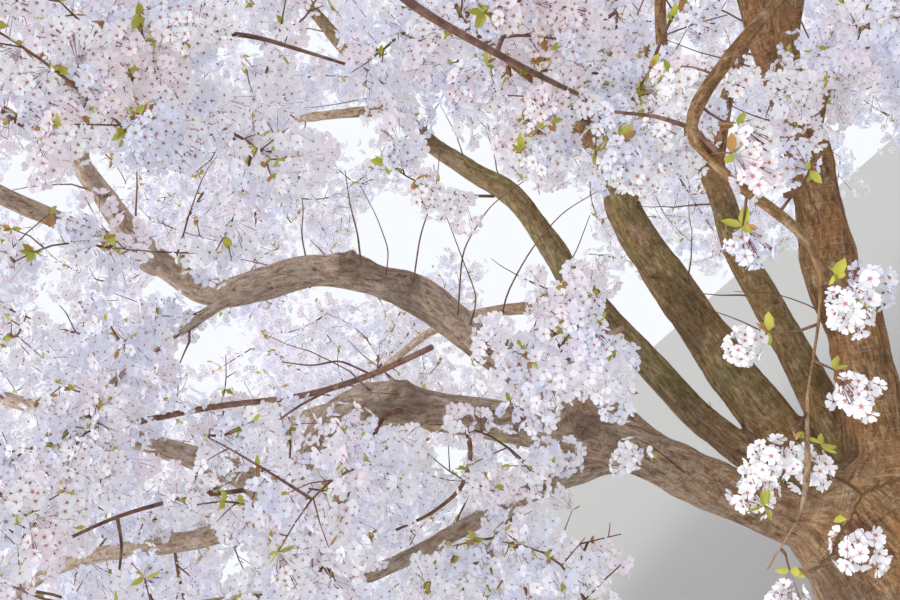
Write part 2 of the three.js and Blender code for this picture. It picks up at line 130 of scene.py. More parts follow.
# How each limb runs: its parent, where on it the limb starts, its radius at the foot and
# the tip, and stretches of (length, heading, rise). A mass carries the route on, and has
# its spread and a shift of its room.
LIMBS = [
    dict(name="stem_left", parent="trunk", foot=0.096, tip=0.056, knobs=[(0.97, 0.016)],
         route=[(0.62, -168, 61), (0.2, -155, 65), (0.33, -156, 54), (0.42, -158, 49),
                (0.26, -172, 46)]),
    dict(name="stem_middle", parent="trunk", foot=0.066, tip=0.026,
         route=[(0.64, 127, 70), (0.3, 105, 77), (0.48, 85, 78), (0.47, 58, 76),
                (0.26, 132, 72), (0.4, 115, 73), (1.1, 80, 71)],
         mass=[(0.85, 60, 74), (0.7, 100, 62)], spread=1.3),
    dict(name="stem_right_middle", parent="trunk", foot=0.098, tip=0.034,
         route=[(0.64, 82, 70), (0.6, 48, 76), (0.3, 40, 74), (0.26, 22, 60), (0.38, 50, 78),
                (1.4, 60, 67)],
         mass=[(0.85, 20, 70), (0.7, -20, 54)], spread=1.3),
    dict(name="stem_right", parent="trunk", foot=0.112, tip=0.036,
         route=[(0.68, -4, 57), (0.24, 0, 66), (0.38, 0, 58), (0.26, -5, 60), (0.32, -8, 68),
                (0.9, -16, 62)],
         mass=[(0.7, -30, 50), (0.7, -50, 35)], spread=1.2),
    dict(name="stem_rear", parent="trunk", foot=0.076, tip=0.028,
         route=[(0.64, 38, 64), (0.27, 44, 64), (0.3, 44, 62), (0.38, 35, 58), (0.9, 50, 58)],
         mass=[(0.7, 60, 52), (0.7, 50, 38)], spread=1.2),
    dict(name="stem_twisted", parent="stem_left", share=0.44, foot=0.068, tip=0.028,
         knobs=[(0.3, 0.013), (0.46, 0.009)],
         route=[(0.33, 160, 76), (0.34, -175, 70), (0.36, -150, 75), (0.33, -150, 49),
                (0.33, -172, 27), (0.23, 150, 62), (0.28, 115, 66), (1.1, 95, 74)],
         mass=[(0.85, 40, 76), (0.7, 170, 66)], spread=1.3),
    bough("far_left", "stem_left", 1, 0.046, 0.02,
          [(0.15, 180, 20), (0.25, 172, -18), (0.31, 161, 9), (0.26, 156, 24),
           (0.31, 158, 29), (0.29, 158, 21), (0.3, 152, 8)],
          [(0.6, 170, 15), (0.6, -170, -12)], 1.1),
    bough("left_rise", "bough_far_left", 0.24, 0.044, 0.02,
          [(0.26, 155, 60), (0.5, 165, 55), (0.6, 150, 50)],
          [(0.7, 160, 50), (0.6, 175, 25)], 1.2),
    bough("front_left", "stem_left", 0.5, 0.032, 0.018,
          [(0.4, -165, 20), (0.6, -152, 14), (0.7, -140, 28)],
          [(0.6, -130, 32), (0.6, -145, 0)], 1.2),
    bough("over_left", "stem_twisted", 0.6, 0.034, 0.018,
          [(0.6, -110, 35), (0.7, -95, 15), (0.5, -100, 5)],
          [(0.6, -95, 5), (0.6, -120, -15)], 1.1),
    bough("over_right", "stem_right", 0.72, 0.036, 0.018,
          [(0.6, -70, 35), (0.8, -100, 20), (0.5, -105, 5)],
          [(0.6, -100, 0), (0.6, -80, -20)], 1.1),
    bough("right_front", "stem_right", 0.6, 0.036, 0.018,
          [(0.5, -40, 35), (0.6, -55, 20), (0.5, -50, 10)],
          [(0.6, -45, 5), (0.6, -35, -20)], 1.2),
    bough("right", "stem_right", 0.66, 0.034, 0.018,
          [(0.5, 15, 30), (0.6, 5, 20), (0.4, -5, 10)],
          [(0.6, 0, 5), (0.6, 10, -20)], 1.2),
    bough("right_back", "stem_rear", 0.62, 0.032, 0.018,
          [(0.5, 15, 35), (0.6, 30, 20), (0.5, 35, 10)],
          [(0.6, 30, 5), (0.6, 40, -20)], 1.2),
    bough("back_right", "stem_right_middle", 0.5, 0.032, 0.018,
          [(0.5, 75, 35), (0.6, 65, 15), (0.5, 60, 10)],
          [(0.6, 65, 5), (0.6, 50, -20)], 1.2),
    bough("back_left", "stem_middle", 0.36, 0.028, 0.018,
          [(0.5, 130, 35), (0.6, 120, 20), (0.6, 125, 10)],
          [(0.6, 120, 5), (0.6, 105, -20)], 1.2),
    bough("left_back", "stem_left", 0.8, 0.034, 0.018,
          [(0.5, 125, 35), (0.7, 135, 22), (0.6, 145, 10)],
          [(0.6, 140, 5), (0.6, 160, -20)], 1.2),
    bough("high_left", "stem_twisted", 0.8, 0.03, 0.018,
          [(0.5, -110, 45), (0.6, -120, 30)],
          [(0.6, -115, 30), (0.6, -130, 5)], 1.2),
    bough("high_front", "stem_right_middle", 0.76, 0.034, 0.018,
          [(0.5, -100, 40), (0.7, -95, 30), (0.5, -90, 20)],
          [(0.6, -95, 20), (0.6, -85, 0)], 1.2),
    bough("high_back", "stem_middle", 0.72, 0.024, 0.016,
          [(0.45, 130, 40), (0.5, 115, 35)],
          [(0.6, 115, 35), (0.6, 130, 5)], 1.2),
    bough("high_right", "stem_rear", 0.84, 0.028, 0.018,
          [(0.5, 0, 50), (0.6, 15, 45)],
          [(0.6, 10, 40), (0.6, 20, 10)], 1.2),
    bough("top_front", "stem_right", 0.9, 0.036, 0.02,
          [(0.5, -120, 60), (0.8, -155, 66), (0.5, -140, 62)],
          [(0.8, -150, 68), (0.6, -100, 45)], 1.3),
    bough("hanging_left", "stem_twisted", 0.66, 0.024, 0.014,
          [(0.4, -75, 15), (0.35, -60, -8)],
          [(0.4, -70, -20), (0.35, -60, -30)], 0.52),
    bough("hanging_middle", "stem_right_middle", 0.58, 0.026, 0.014,
          [(0.5, -110, 30), (0.6, -103, 7), (0.25, -108, -15)],
          [(0.45, -100, -48), (0.45, -92, -62)], 0.46, shift=(0.05, 0, -0.06)),
    bough("hanging_right", "stem_right", 0.58, 0.026, 0.014,
          [(0.5, -80, 35), (0.5, -110, 0), (0.5, -115, -30)],
          [(0.59, -150, -12), (0.13, -170, -60), (0.245, 57, -79), (0.26, 178, -44),
           (0.19, 160, -46), (0.14, 178, -20)],
          0.33, shift=(-0.19, -0.09, -0.16)),
    bough("inner", "stem_left", 0.62, 0.022, 0.012,
          [(0.22, -80, 30), (0.14, -60, 20)],
          [(0.25, -72, 5), (0.22, -58, -10)], 0.36),
    bough("low_left", "stem_left", 0.56, 0.02, 0.011,
          [(0.17, -105, 15), (0.13, -125, 0)],
          [(0.22, -160, 0), (0.22, 175, -12)], 0.42),
    bough("left_front", "stem_twisted", 0.4, 0.024, 0.013,
          [(0.3, -150, 18), (0.25, -165, 5)],
          [(0.35, -170, 0), (0.35, 175, -12)], 0.58),
    bough("left_low", "stem_left", 0.84, 0.024, 0.012,
          [(0.2, -115, 10), (0.18, -135, -5)],
          [(0.3, -155, -8), (0.28, -170, -15)], 0.5),
    bough("low_right", "stem_right", 0.46, 0.022, 0.012,
          [(0.18, -75, 30), (0.14, -60, 30)],
          [(0.26, -75, 15), (0.22, -55, 0)], 0.34),
]
MOSSY_STEMS = ("stem_middle", "stem_right_middle", "stem_rear")


def unit(vectors):
    """The vectors scaled to length 1, along their last axis."""
    vectors = np.asarray(vectors, float)
    return vectors / np.maximum(np.linalg.norm(vectors, axis=-1, keepdims=True), 1e-12)


def between(limits, share):
    """The value at a share of the way from one limit to the other."""
    return limits[0] + (limits[1] - limits[0]) * share


def direction(heading, rise):
    """A unit vector by degrees round from +X and degrees up."""
    level, up = math.radians(heading), math.radians(rise)
    return np.array([math.cos(up) * math.cos(level), math.cos(up) * math.sin(level),
                     math.sin(up)])


def square_to(vectors):
    """A unit vector square to each one given, the same one that the solids use."""
    vectors = np.asarray(vectors, float)
    upright = np.abs(vectors[..., 2:3]) >= 0.9
    least = np.where(upright, [1.0, 0.0, 0.0], [0.0, 0.0, 1.0])
    return unit(np.cross(least, vectors))


def turned(vectors, axes, angles):
    """Vectors turned about unit axes by angles in radians."""
    angles = np.asarray(angles, float)[..., None]
    dot = np.sum(vectors * axes, axis=-1, keepdims=True)
    return (vectors * np.cos(angles) + np.cross(axes, vectors) * np.sin(angles)
            + axes * dot * (1 - np.cos(angles)))


def make_chance(seed):
    """The solids' random numbers from 0 to 1."""
    state = seed * 7919 + 17
    while True:
        state = (state * 1664525 + 1013904223) % 4294967296
        yield state / 4294967296


def value_noise(places, seed=0):
    """Smooth noise from -1 to 1 at each place, with cells of size 1."""
    cell = np.floor(places).astype(np.int64)
    share = places - cell
    share = share * share * (3 - 2 * share)
    total = np.zeros(len(places))
    for corner in itertools.product((0, 1), repeat=3):
        x, y, z = (cell + corner).T
        mixed = (x * 73856093 ^ y * 19349663 ^ z * 83492791 ^ (seed * 2654435761)) & 0xFFFFFFFF
        mixed = ((mixed ^ (mixed >> 15)) * 2246822519) & 0xFFFFFFFF
        mixed = ((mixed ^ (mixed >> 13)) * 3266489917) & 0xFFFFFFFF
        value = (mixed ^ (mixed >> 16)) / 2147483648.0 - 1
        weight = np.prod(np.where(corner, share, 1 - share), axis=1)
        total += value * weight
    return total


class Curve:
    """A smooth curve through a route's corners, read by the distance along it."""

    SAMPLES = 48

    def __init__(self, start, route):
        corners = [np.array(start, float)]
        for length, heading, rise in route:
            corners.append(corners[-1] + direction(heading, rise) * length)
        p = np.array(corners)
        p = np.vstack([2 * p[0] - p[1], p, 2 * p[-1] - p[-2]])
        t = np.linspace(0, 1, self.SAMPLES, endpoint=False)[:, None]
        pieces = []
        for i in range(1, len(p) - 2):
            a, b = (p[i + 1] - p[i - 1]) / 2, (p[i + 2] - p[i]) / 2
            c = 3 * (p[i + 1] - p[i]) - 2 * a - b
            d = 2 * (p[i] - p[i + 1]) + a + b
            pieces.append(p[i] + a * t + c * t ** 2 + d * t ** 3)
        self.points = np.vstack(pieces + [p[-2:-1]])
        steps = np.linalg.norm(np.diff(self.points, axis=0), axis=1)
        self.distances = np.concatenate([[0], np.cumsum(steps)])
        self.length = self.distances[-1]
        self.tangents = unit(np.gradient(self.points, self.distances, axis=0))
        self.across = np.zeros_like(self.points)
        across = square_to(self.tangents[0])
        for i, along in enumerate(self.tangents):
            across = unit(across - along * (across @ along))
            self.across[i] = across

    def _read(self, values, distance):
        return np.stack([np.interp(distance, self.distances, values[:, k]) for k in range(3)], -1)

    def at(self, distance):
        """Places at distances, carried straight on past either end."""
        distance = np.asarray(distance, float)
        inside = np.clip(distance, 0, self.length)
        return self._read(self.points, inside) + self.along(inside) * (distance - inside)[..., None]

    def along(self, distance):
        return unit(self._read(self.tangents, np.clip(distance, 0, self.length)))

    def side(self, distance):
        return unit(self._read(self.across, np.clip(distance, 0, self.length)))


def limb_radius(limb, distance):
    """A limb's radius at distances along it, with its knobs."""
    share = np.clip(distance / limb["length"], 0, 1)
    radius = between((limb["foot"], limb["tip"]), share)
    for place, swelling in limb.get("knobs", []):
        away = (distance - place * limb["length"]) / KNOB_WIDTH
        radius = radius + swelling * np.exp(-away * away)
    return radius


def lay_out_limbs():
    """Gives each limb its curve, from its place on its parent, and lists them by name."""
    by_name = {}
    for limb in LIMBS:
        parent = by_name.get(limb["parent"])
        start = FORK
        if parent:
            start = parent["curve"].at(min(limb["share"] * parent["length"], parent["length"] - SINK))
        limb["curve"] = Curve(start, limb["route"])
        limb["length"] = limb["curve"].length
        by_name[limb["name"]] = limb
    return by_name


limbs_by_name = lay_out_limbs()
STEMS = [limb for limb in LIMBS if limb["name"].startswith("stem")]
BOUGHS = [limb for limb in LIMBS if limb["name"].startswith("bough")]


def rings_along(length, spacing):
    """Distances along a length, evenly spaced and no further apart than the spacing."""
    return np.linspace(0, length, math.ceil(length / spacing) + 1)


def limb_spine(limbs):
    """Places along the limbs and the radius there, close enough to stand for the bark."""
    places, radii = [], []
    for limb in limbs:
        distance = rings_along(limb["length"], SPINE_SPACING)
        places.append(limb["curve"].at(distance))
        radii.append(limb_radius(limb, distance))
    return np.vstack(places), np.concatenate(radii)


SPINE_PLACES, SPINE_RADII = limb_spine(LIMBS)


def clear_of_limbs(points):
    """Whether each point is clear of every limb's bark."""
    clear = np.ones(len(points), bool)
    for low in range(0, len(points), AT_ONCE):
        part = points[low:low + AT_ONCE]
        apart = np.linalg.norm(part[:, None] - SPINE_PLACES[None], axis=2)
        clear[low:low + AT_ONCE] = (apart > SPINE_RADII + LIMB_MARGIN).all(1)
    return clear


class Mass:
    """One mass of the crown: its stem and its egg-shaped room."""

    all = []

    def __init__(self, limb, index):
        self.limb, self.index, self.spread = limb, index, limb["spread"]
        tip = limb["curve"].at(limb["length"] - SINK)
        self.curve = Curve(tip, limb["mass"])
        self.length = self.curve.length
        chord = self.curve.at(self.length) - tip
        self.half_length = np.linalg.norm(chord) / 2 + self.spread * EGG_OVERHANG
        self.way = unit(chord)
        self.middle = tip + self.way * self.half_length * EGG_LEAD + np.array(limb.get("shift", 0))
        Mass.all.append(self)

    def has(self, points, edge):
        """Whether each point lies in the egg, up to an edge, and nearer to it than to the others."""
        points = np.atleast_2d(points)
        away = points - self.middle
        along = away @ self.way
        across = np.sqrt(np.maximum(0, np.sum(away * away, 1) - along * along))
        inside = np.hypot(along / self.half_length, across / self.spread) <= edge
        for other in Mass.all:
            if other is self:
                continue
            gap = other.middle - self.middle
            apart = np.linalg.norm(gap)
            limit = (apart + (self.spread ** 2 - other.spread ** 2) / apart) / 2
            inside &= away @ gap / apart < limit - MASS_MARGIN
        return inside

    def fits(self, points):
        """Whether each point lies in the room, away from the viewpoint and the limbs."""
        points = np.atleast_2d(points)
        fine = self.has(points, EGG_EDGE)
        fine &= np.linalg.norm(points - CLEARING, axis=1) > CLEARING_RADIUS
        fine[fine] = clear_of_limbs(points[fine])
        return fine

    def room_along(self, start, way):
        """How far the room goes on from a place, a given way."""
        steps = np.arange(ROOM_STEP, ROOM_LIMIT, ROOM_STEP)
        inside = self.has(start + way * steps[:, None], 1)
        return ROOM_STEP * (len(steps) if inside.all() else int(np.argmin(inside)))

    def source_twigs(self):
        """The twigs of the solid by its own rule: start, end and way of each one."""
        chance = make_chance(self.index)
        twigs = []

        def lean(way):
            next(chance)
            swing = turned(square_to(way), way, next(chance) * math.pi * 2)
            return unit(way + swing * SPRAY_SWING * next(chance))

        count = math.floor(TWIGS_PER_METRE * self.length + LEAST_TWIGS + 0.5)
        for i in range(count):
            share = between(TWIG_SHARES, i / (count - 1))
            start = self.curve.at(share * self.length)
            along = self.curve.along(share * self.length)
            turn = math.radians(i * TWIG_TURN + TWIG_TURN_LOOSE * next(chance))
            splay = math.radians(between(TWIG_SPLAY, share))
            aside = turned(square_to(along), along, turn)
            way = along * math.cos(splay) + aside * math.sin(splay)
            way = unit(way - np.array([0, 0, TWIG_SAG]))
            room = self.room_along(start, way) * between(TWIG_REACH, next(chance))
            length = room - self.spread * END_SPRAY
            end = start + way * length
            if length < self.spread * TWIG_LEAST:
                continue
            if not self.fits(start + (end - start) * TWIG_PROBES[:, None]).all():
                continue
            twigs.append((start, end, lean(way)))
            if length > self.spread * (END_SPRAY + SIDE_SPRAY):
                lean(way)
        return twigs


for number, bearing in enumerate((limb for limb in LIMBS if "mass" in limb), 1):
    Mass(bearing, number)


# The growth beyond the source's twigs, by random numbers of its own
SEED = 23
GOLDEN = math.radians(137.5)
TWIG_SCALES = (1, 0.7, 0.45)
TURN_LOOSE = 0.35
PLACE_LOOSE = 0.3
PATH_TURNS = 3
TIP_SHORTER = 0.4

# Each twig's radius at its foot and its tip
MAIN_THICK = (0.0095, 0.0028)
SIDE_THICK = (0.0042, 0.0018)
FINE_THICK = (0.0024, 0.0013)
VOID_THICK = (0.0042, 0.0016)
SPUR_THICK = (0.0045, 0.002)
SHOOT_THICK = (0.0042, 0.0012)
STRING_THICK = (0.0032, 0.0016)

# Main twigs follow the source's twigs, in waves
STEM_POINTS = 14
MAIN_POINTS = 14
MAIN_STRAIGHT = 9
MAIN_SIDES = 5
MAIN_WAVE = 0.022
MAIN_REACH = 0.85
MAIN_BEND, MAIN_SAG = 0.1, 0.04

# Side twigs leave the stem and the main twigs, and fine twigs leave the side twigs: metres
# from the parent's foot to the first, metres between them, lengths, degrees of splay
STEM_FIRST = 0.12
SIDE_FIRST, SIDE_SPACING = 0.09, 0.1
SIDE_LENGTHS = (0.24, 0.46)
SIDE_SPLAY, SIDE_LIFT = 56, 0.06
FINE_FIRST, FINE_SPACING = 0.06, 0.088
FINE_LENGTHS = (0.07, 0.17)
FINE_SPLAY, FINE_LIFT = 62, 0.05
SPROUT_BEND, SPROUT_SAG = 0.13, 0.03
SIDE_POINTS, SHORT_POINTS, FINE_POINTS = 5, 4, 3
SIDE_SIDES, FINE_SIDES = 4, 3

# A mass with less spread than this has thinner and shorter twigs, by these shares
SMALL_SPREAD = 0.6
SMALL_THICK = 0.7
SMALL_SIZE = 0.45

# Twigs that fill gaps: tries in each mass, the least gap in metres, their bow
VOID_TRIES = 500
VOID_SIZE = 0.21
VOID_BOW = 0.12
VOID_POINTS = 6
VOID_FIRST_CLUSTER = 0.1

# This mass is no more than a string of clusters on short side twigs
STRINGS = ("bough_hanging_right",)
STRING_FIRST, STRING_SPACING = 0.06, 0.075
STRING_TWIGS = (0.03, 0.12)
STRING_DROOP = 0.35
STRING_BEND, STRING_SAG = 0.15, 0.05
STRING_POINTS = 60

# Spurs on the boughs, and shoots on the stems' upper sides
SPUR_FROM = 0.45
SPUR_FIRST, SPUR_SPACING = 0.05, 0.12
SPUR_LENGTHS = (0.05, 0.14)
SPUR_OUT, SPUR_ALONG, SPUR_LIFT = 0.8, 0.4, 0.3
SPUR_BEND = 0.15
SHOOTS_FROM, SHOOTS_TO, SHOOT_SPACING = 0.3, 0.95, 0.075
SHOOT_LOOSE = 0.08
SHOOT_LENGTHS = (0.16, 0.5)
SHOOT_ALONG, SHOOT_LIFT = 0.4, 0.45
SHOOT_BEND, SHOOT_SAG = 0.11, -0.02
SHOOT_POINTS = 8

# Clusters of blossom hang from short spurs, in metres from the foot of each kind of twig
CLUSTER_SPACING = 0.07
STEM_FIRST_CLUSTER = 0.3
MAIN_FIRST_CLUSTER = 0.25
SIDE_FIRST_CLUSTER = 0.05
FINE_FIRST_CLUSTER = 0.04
BALL_RADIUS = 0.043
SPUR_LENGTH = 0.02
HANG_TURN, HANG_LOOSE = 1.7, 0.4
HANG_ASIDE, HANG_ALONG, HANG_DOWN = 0.8, 0.35, 0.45

# Outside the picture the crown has gaps by noise, and a share of the clusters is left out
CLUSTER_GAP_SIZE = 0.42
CLUSTER_GAP_SHARE = -0.42
OUTER_SHARE = 0.72

# The crown stays this near to the box round the solids, under a low dome that isn't even:
# its fall in metres for each square metre, the size and height of its swells, how far
# clusters may stand out of it
BOX_SLACK = 0.085
TOP_FALL = 0.055
TOP_SIZE = 0.6
TOP_UNEVEN = 0.5
TOP_SPIRES = 0.22

# Flowers by tier: near, middle and far in the picture, and outside it. The first two
# tiers end at these distances, and each tier has its count, radius and least depth.
NEAR, MIDDLE = 2.3, 3.9
OUTER = 3
FLOWER_COUNTS = (25, 9, 5, 4)
FLOWER_SIZES = (0.0162, 0.0212, 0.029, 0.034)
BALL_DEPTHS = (0.4, 0.62, 0.85, 0.85)

# The picture and its edge in pixels, and the camera's sensor in millimetres
PICTURE_WIDTH, PICTURE_HEIGHT = 900, 600
PICTURE_EDGE = 40
SENSOR = 36.0

# What blossom would hide in the picture, by how far away it is in metres: circles as (pixels
# across, pixels down, radius) that nothing nearer may cover. Those without a limit stay
# open from front to back.
LEFT_OPEN = {
    math.inf: [(398, 242, 50), (545, 225, 50), (157, 290, 18)],
    2.3: [(438, 12, 26), (462, 30, 26), (488, 48, 25), (514, 66, 24), (290, 46, 24), (322, 56, 24),
          (20, 122, 24)],
    2.9: [(655, 245, 62), (735, 285, 78), (800, 215, 52), (855, 205, 48), (640, 320, 40),
          (700, 395, 74), (765, 480, 72), (740, 180, 45), (700, 500, 60), (890, 300, 25)],
    3.25: [(207, 537, 15), (180, 541, 15), (152, 546, 15), (124, 551, 14), (96, 558, 14), (70, 566, 14),
           (40, 582, 14), (150, 505, 13), (117, 518, 14), (88, 529, 13), (60, 543, 13), (30, 559, 13),
           (119, 572, 12), (372, 440, 13), (360, 468, 13), (384, 418, 12)],
    3.95: [(440, 150, 22), (462, 168, 24), (486, 190, 25), (508, 212, 26)],
}

# Twigs that stand out in the picture: radius at the foot and at the tip, then places on
# them as (pixels across, pixels down, metres in front)
SEEN_SIDES = 7
SEEN_POINTS = 24
SEEN_SMOOTHINGS = 4
SEEN_TWIGS = [
    (0.0115, 0.008, [(64, 436, 3.0), (110, 428, 3.05), (165, 416, 3.05), (225, 404, 2.98), (285, 400, 2.85),
                     (330, 390, 2.7), (380, 372, 2.55), (432, 347, 2.45)]),
    (0.0045, 0.002, [(335, 387, 2.69), (300, 405, 2.62), (272, 425, 2.58), (250, 452, 2.5)]),
    (0.0035, 0.0015, [(372, 375, 2.58), (340, 360, 2.55), (312, 366, 2.5), (282, 362, 2.45)]),
    (0.009, 0.004, [(466, 424, 3.02), (472, 455, 2.9), (462, 490, 2.8), (430, 515, 2.75), (396, 530, 2.7)]),
    (0.006, 0.002, [(275, 425, 3.1), (268, 450, 3.0), (262, 472, 2.9), (252, 500, 2.85)]),
    (0.004, 0.0013, [(362, 275, 3.2), (358, 235, 3.1), (350, 205, 3.05), (345, 170, 3.0)]),
    (0.0032, 0.0012, [(412, 292, 3.2), (420, 235, 3.1), (436, 190, 3.0), (440, 150, 2.95)]),
    (0.0032, 0.0012, [(458, 315, 3.2), (462, 250, 3.0), (490, 205, 2.9), (540, 170, 2.8)]),
    (0.003, 0.0012, [(520, 362, 3.15), (545, 300, 2.95), (575, 255, 2.85), (590, 215, 2.8)]),
    (0.0036, 0.0012, [(310, 288, 3.25), (307, 262, 3.2), (301, 235, 3.15), (304, 205, 3.1),
                      (296, 175, 3.05)]),
    (0.0026, 0.001, [(385, 284, 3.22), (389, 250, 3.15), (376, 215, 3.05), (360, 185, 3.0)]),
    (0.0028, 0.001, [(470, 325, 3.2), (478, 298, 3.15), (462, 258, 3.05), (445, 212, 3.0), (425, 175, 2.95)]),
    (0.0034, 0.0012, [(500, 352, 3.15), (503, 300, 3.0), (530, 250, 2.9), (562, 212, 2.8), (600, 190, 2.75)]),
    (0.003, 0.001, [(232, 292, 3.3), (190, 318, 3.2), (140, 303, 3.1), (105, 290, 3.0)]),
    (0.0075, 0.0035, [(131, 45, 2.12), (190, 30, 2.1), (255, 36, 2.12), (300, 50, 2.16), (345, 64, 2.2)]),
    (0.009, 0.005, [(88, 136, 2.88), (52, 142, 2.6), (16, 122, 2.4), (-30, 86, 2.3)]),
    (0.0085, 0.004, [(262, 488, 3.12), (180, 498, 3.0), (117, 516, 2.95), (67, 539, 2.9), (18, 565, 2.9)]),
    (0.006, 0.0025, [(117, 516, 2.95), (122, 545, 2.92), (119, 575, 2.9), (101, 592, 2.9)]),
    (0.0085, 0.004, [(404, 410, 3.0), (384, 414, 2.85), (372, 440, 2.8), (360, 470, 2.75), (345, 500, 2.7)]),
    (0.0055, 0.003, [(718, 152, 1.72), (690, 127, 1.73), (655, 116, 1.8), (615, 112, 1.88)]),
    (0.0115, 0.0045, [(300, -90, 2.25), (355, -45, 2.0), (407, 2, 1.82), (436, 20, 1.8), (475, 42, 1.8),
                      (520, 66, 1.82), (560, 86, 1.95), (600, 104, 2.3)]),
]

rng = np.random.default_rng(SEED)


def camera_axes():
    """The camera's right, up and forward, with its pitch and its roll."""
    pitch, roll = math.radians(PITCH), math.radians(ROLL)
    forward = np.array([0, math.cos(pitch), math.sin(pitch)])
    level = np.array([1.0, 0, 0])
    upright = np.cross(level, forward)
    right = math.cos(roll) * level - math.sin(roll) * upright
    up = math.sin(roll) * level + math.cos(roll) * upright
    return right, up, forward


def picture_place(points):
    """Where points fall in the picture, and how far in front of the camera they lie."""
    right, up, forward = camera_axes()
    away = points - VIEWPOINT
    depth = away @ forward
    focal = LENS / SENSOR * PICTURE_WIDTH / np.maximum(depth, 1e-3)
    x = PICTURE_WIDTH / 2 + away @ right * focal
    y = PICTURE_HEIGHT / 2 - away @ up * focal
    return x, y, depth


def in_picture(points):
    """Whether each point lies in the picture or close to its edge."""
    x, y, depth = picture_place(points)
    across = (x > -PICTURE_EDGE) & (x < PICTURE_WIDTH + PICTURE_EDGE)
    return across & (y > -PICTURE_EDGE) & (y < PICTURE_HEIGHT + PICTURE_EDGE) & (depth > 0)


def wander(starts, ways, lengths, points, bend, sag):
    """Paths that set off in given ways, turn a little at each step and sag."""
    paths = np.empty((len(starts), points, 3))
    paths[:, 0] = starts
    way = ways.copy()
    for i in range(1, points):
        way = unit(way + rng.normal(0, bend, way.shape) - np.array([0, 0, sag]))
        paths[:, i] = paths[:, i - 1] + way * (lengths / (points - 1))[:, None]
    return paths


def along_paths(paths, first, spacing):
    """Places spaced out along paths: position, way along, order on its path, share of it."""
    count = paths.shape[1]
    lengths = np.linalg.norm(np.diff(paths, axis=1), axis=2).sum(1)
    counts = np.maximum(0, np.floor((lengths - first) / spacing).astype(int) + 1)
    which = np.repeat(np.arange(len(paths)), counts)
    order = np.arange(len(which)) - np.repeat(np.cumsum(counts) - counts, counts)
    loose = rng.uniform(-PLACE_LOOSE, PLACE_LOOSE, len(which))
    share = (first + (order + loose) * spacing) / lengths[which]
    at = np.clip(share, 0, 1) * (count - 1)
    low = np.minimum(at.astype(int), count - 2)
    a, b = paths[which, low], paths[which, low + 1]
    return a + (b - a) * (at - low)[:, None], unit(b - a), order + which * PATH_TURNS, share


def sprout(mass, paths, first, spacing, lengths, splay, lift, points):
    """New twigs along the given ones, each as long as its mass's room lets it be."""
    place, along, order, share = along_paths(paths, first, spacing)
    turn = order * GOLDEN + rng.normal(0, TURN_LOOSE, len(order))
    aside = turned(square_to(along), along, turn)
    lean = math.radians(splay)
    way = unit(along * math.cos(lean) + aside * math.sin(lean) + np.array([0, 0, lift]))
    length = rng.uniform(*lengths, len(order)) * (1 - TIP_SHORTER * share)
    scale = np.zeros(len(order))
    for part in TWIG_SCALES:
        open_ones = np.flatnonzero(scale == 0)
        if len(open_ones):
            ends = place[open_ones] + way[open_ones] * (length[open_ones] * part)[:, None]
            scale[open_ones[mass.fits(ends) & under_top(ends)]] = part
    kept = scale > 0
    return wander(place[kept], way[kept], (length * scale)[kept], points, SPROUT_BEND, SPROUT_SAG)


def main_twig(start, end, lean, reach):
    """A source twig made to wave a little and carried on into its spray."""
    share = np.linspace(0, 1, MAIN_STRAIGHT)[:, None]
    way = unit(end - start)
    aside = turned(square_to(way), way, rng.uniform(0, math.tau))
    other = np.cross(way, aside)
    wave = MAIN_WAVE * np.linalg.norm(end - start)
    path = start + (end - start) * share
    path += aside * np.sin(math.pi * share) * wave * rng.uniform(-2, 2)
    path += other * np.sin(math.tau * share) * wave * rng.uniform(-1, 1)
    tail = wander(end[None], unit(way + lean)[None], np.array([reach]),
                  MAIN_POINTS - MAIN_STRAIGHT + 1, MAIN_BEND, MAIN_SAG)[0]
    return np.vstack([path, tail[1:]])


def left_open(points):
    """Whether each point would cover what the picture shows through the blossom."""
    x, y, depth = picture_place(points)
    covers = np.zeros(len(points), bool)
    for reach, circles in LEFT_OPEN.items():
        for across, down, radius in circles:
            covers |= (depth > 0) & (depth < reach) & (np.hypot(x - across, y - down) < radius)
    return covers


def held_in(points):
    """The points, kept near the box round the solids."""
    return np.clip(points, np.array(cad_box[0]) - BOX_SLACK, np.array(cad_box[1]) + BOX_SLACK)


def under_top(points, spires=0):
    """Whether each point lies under the crown's uneven top, or out of it by up to the spires."""
    fall = TOP_FALL * np.sum(points[:, :2] ** 2, axis=1)
    uneven = TOP_UNEVEN * (0.5 + 0.5 * value_noise(points / TOP_SIZE, 7))
    return points[:, 2] < cad_box[1][2] + BOX_SLACK - fall - uneven + spires


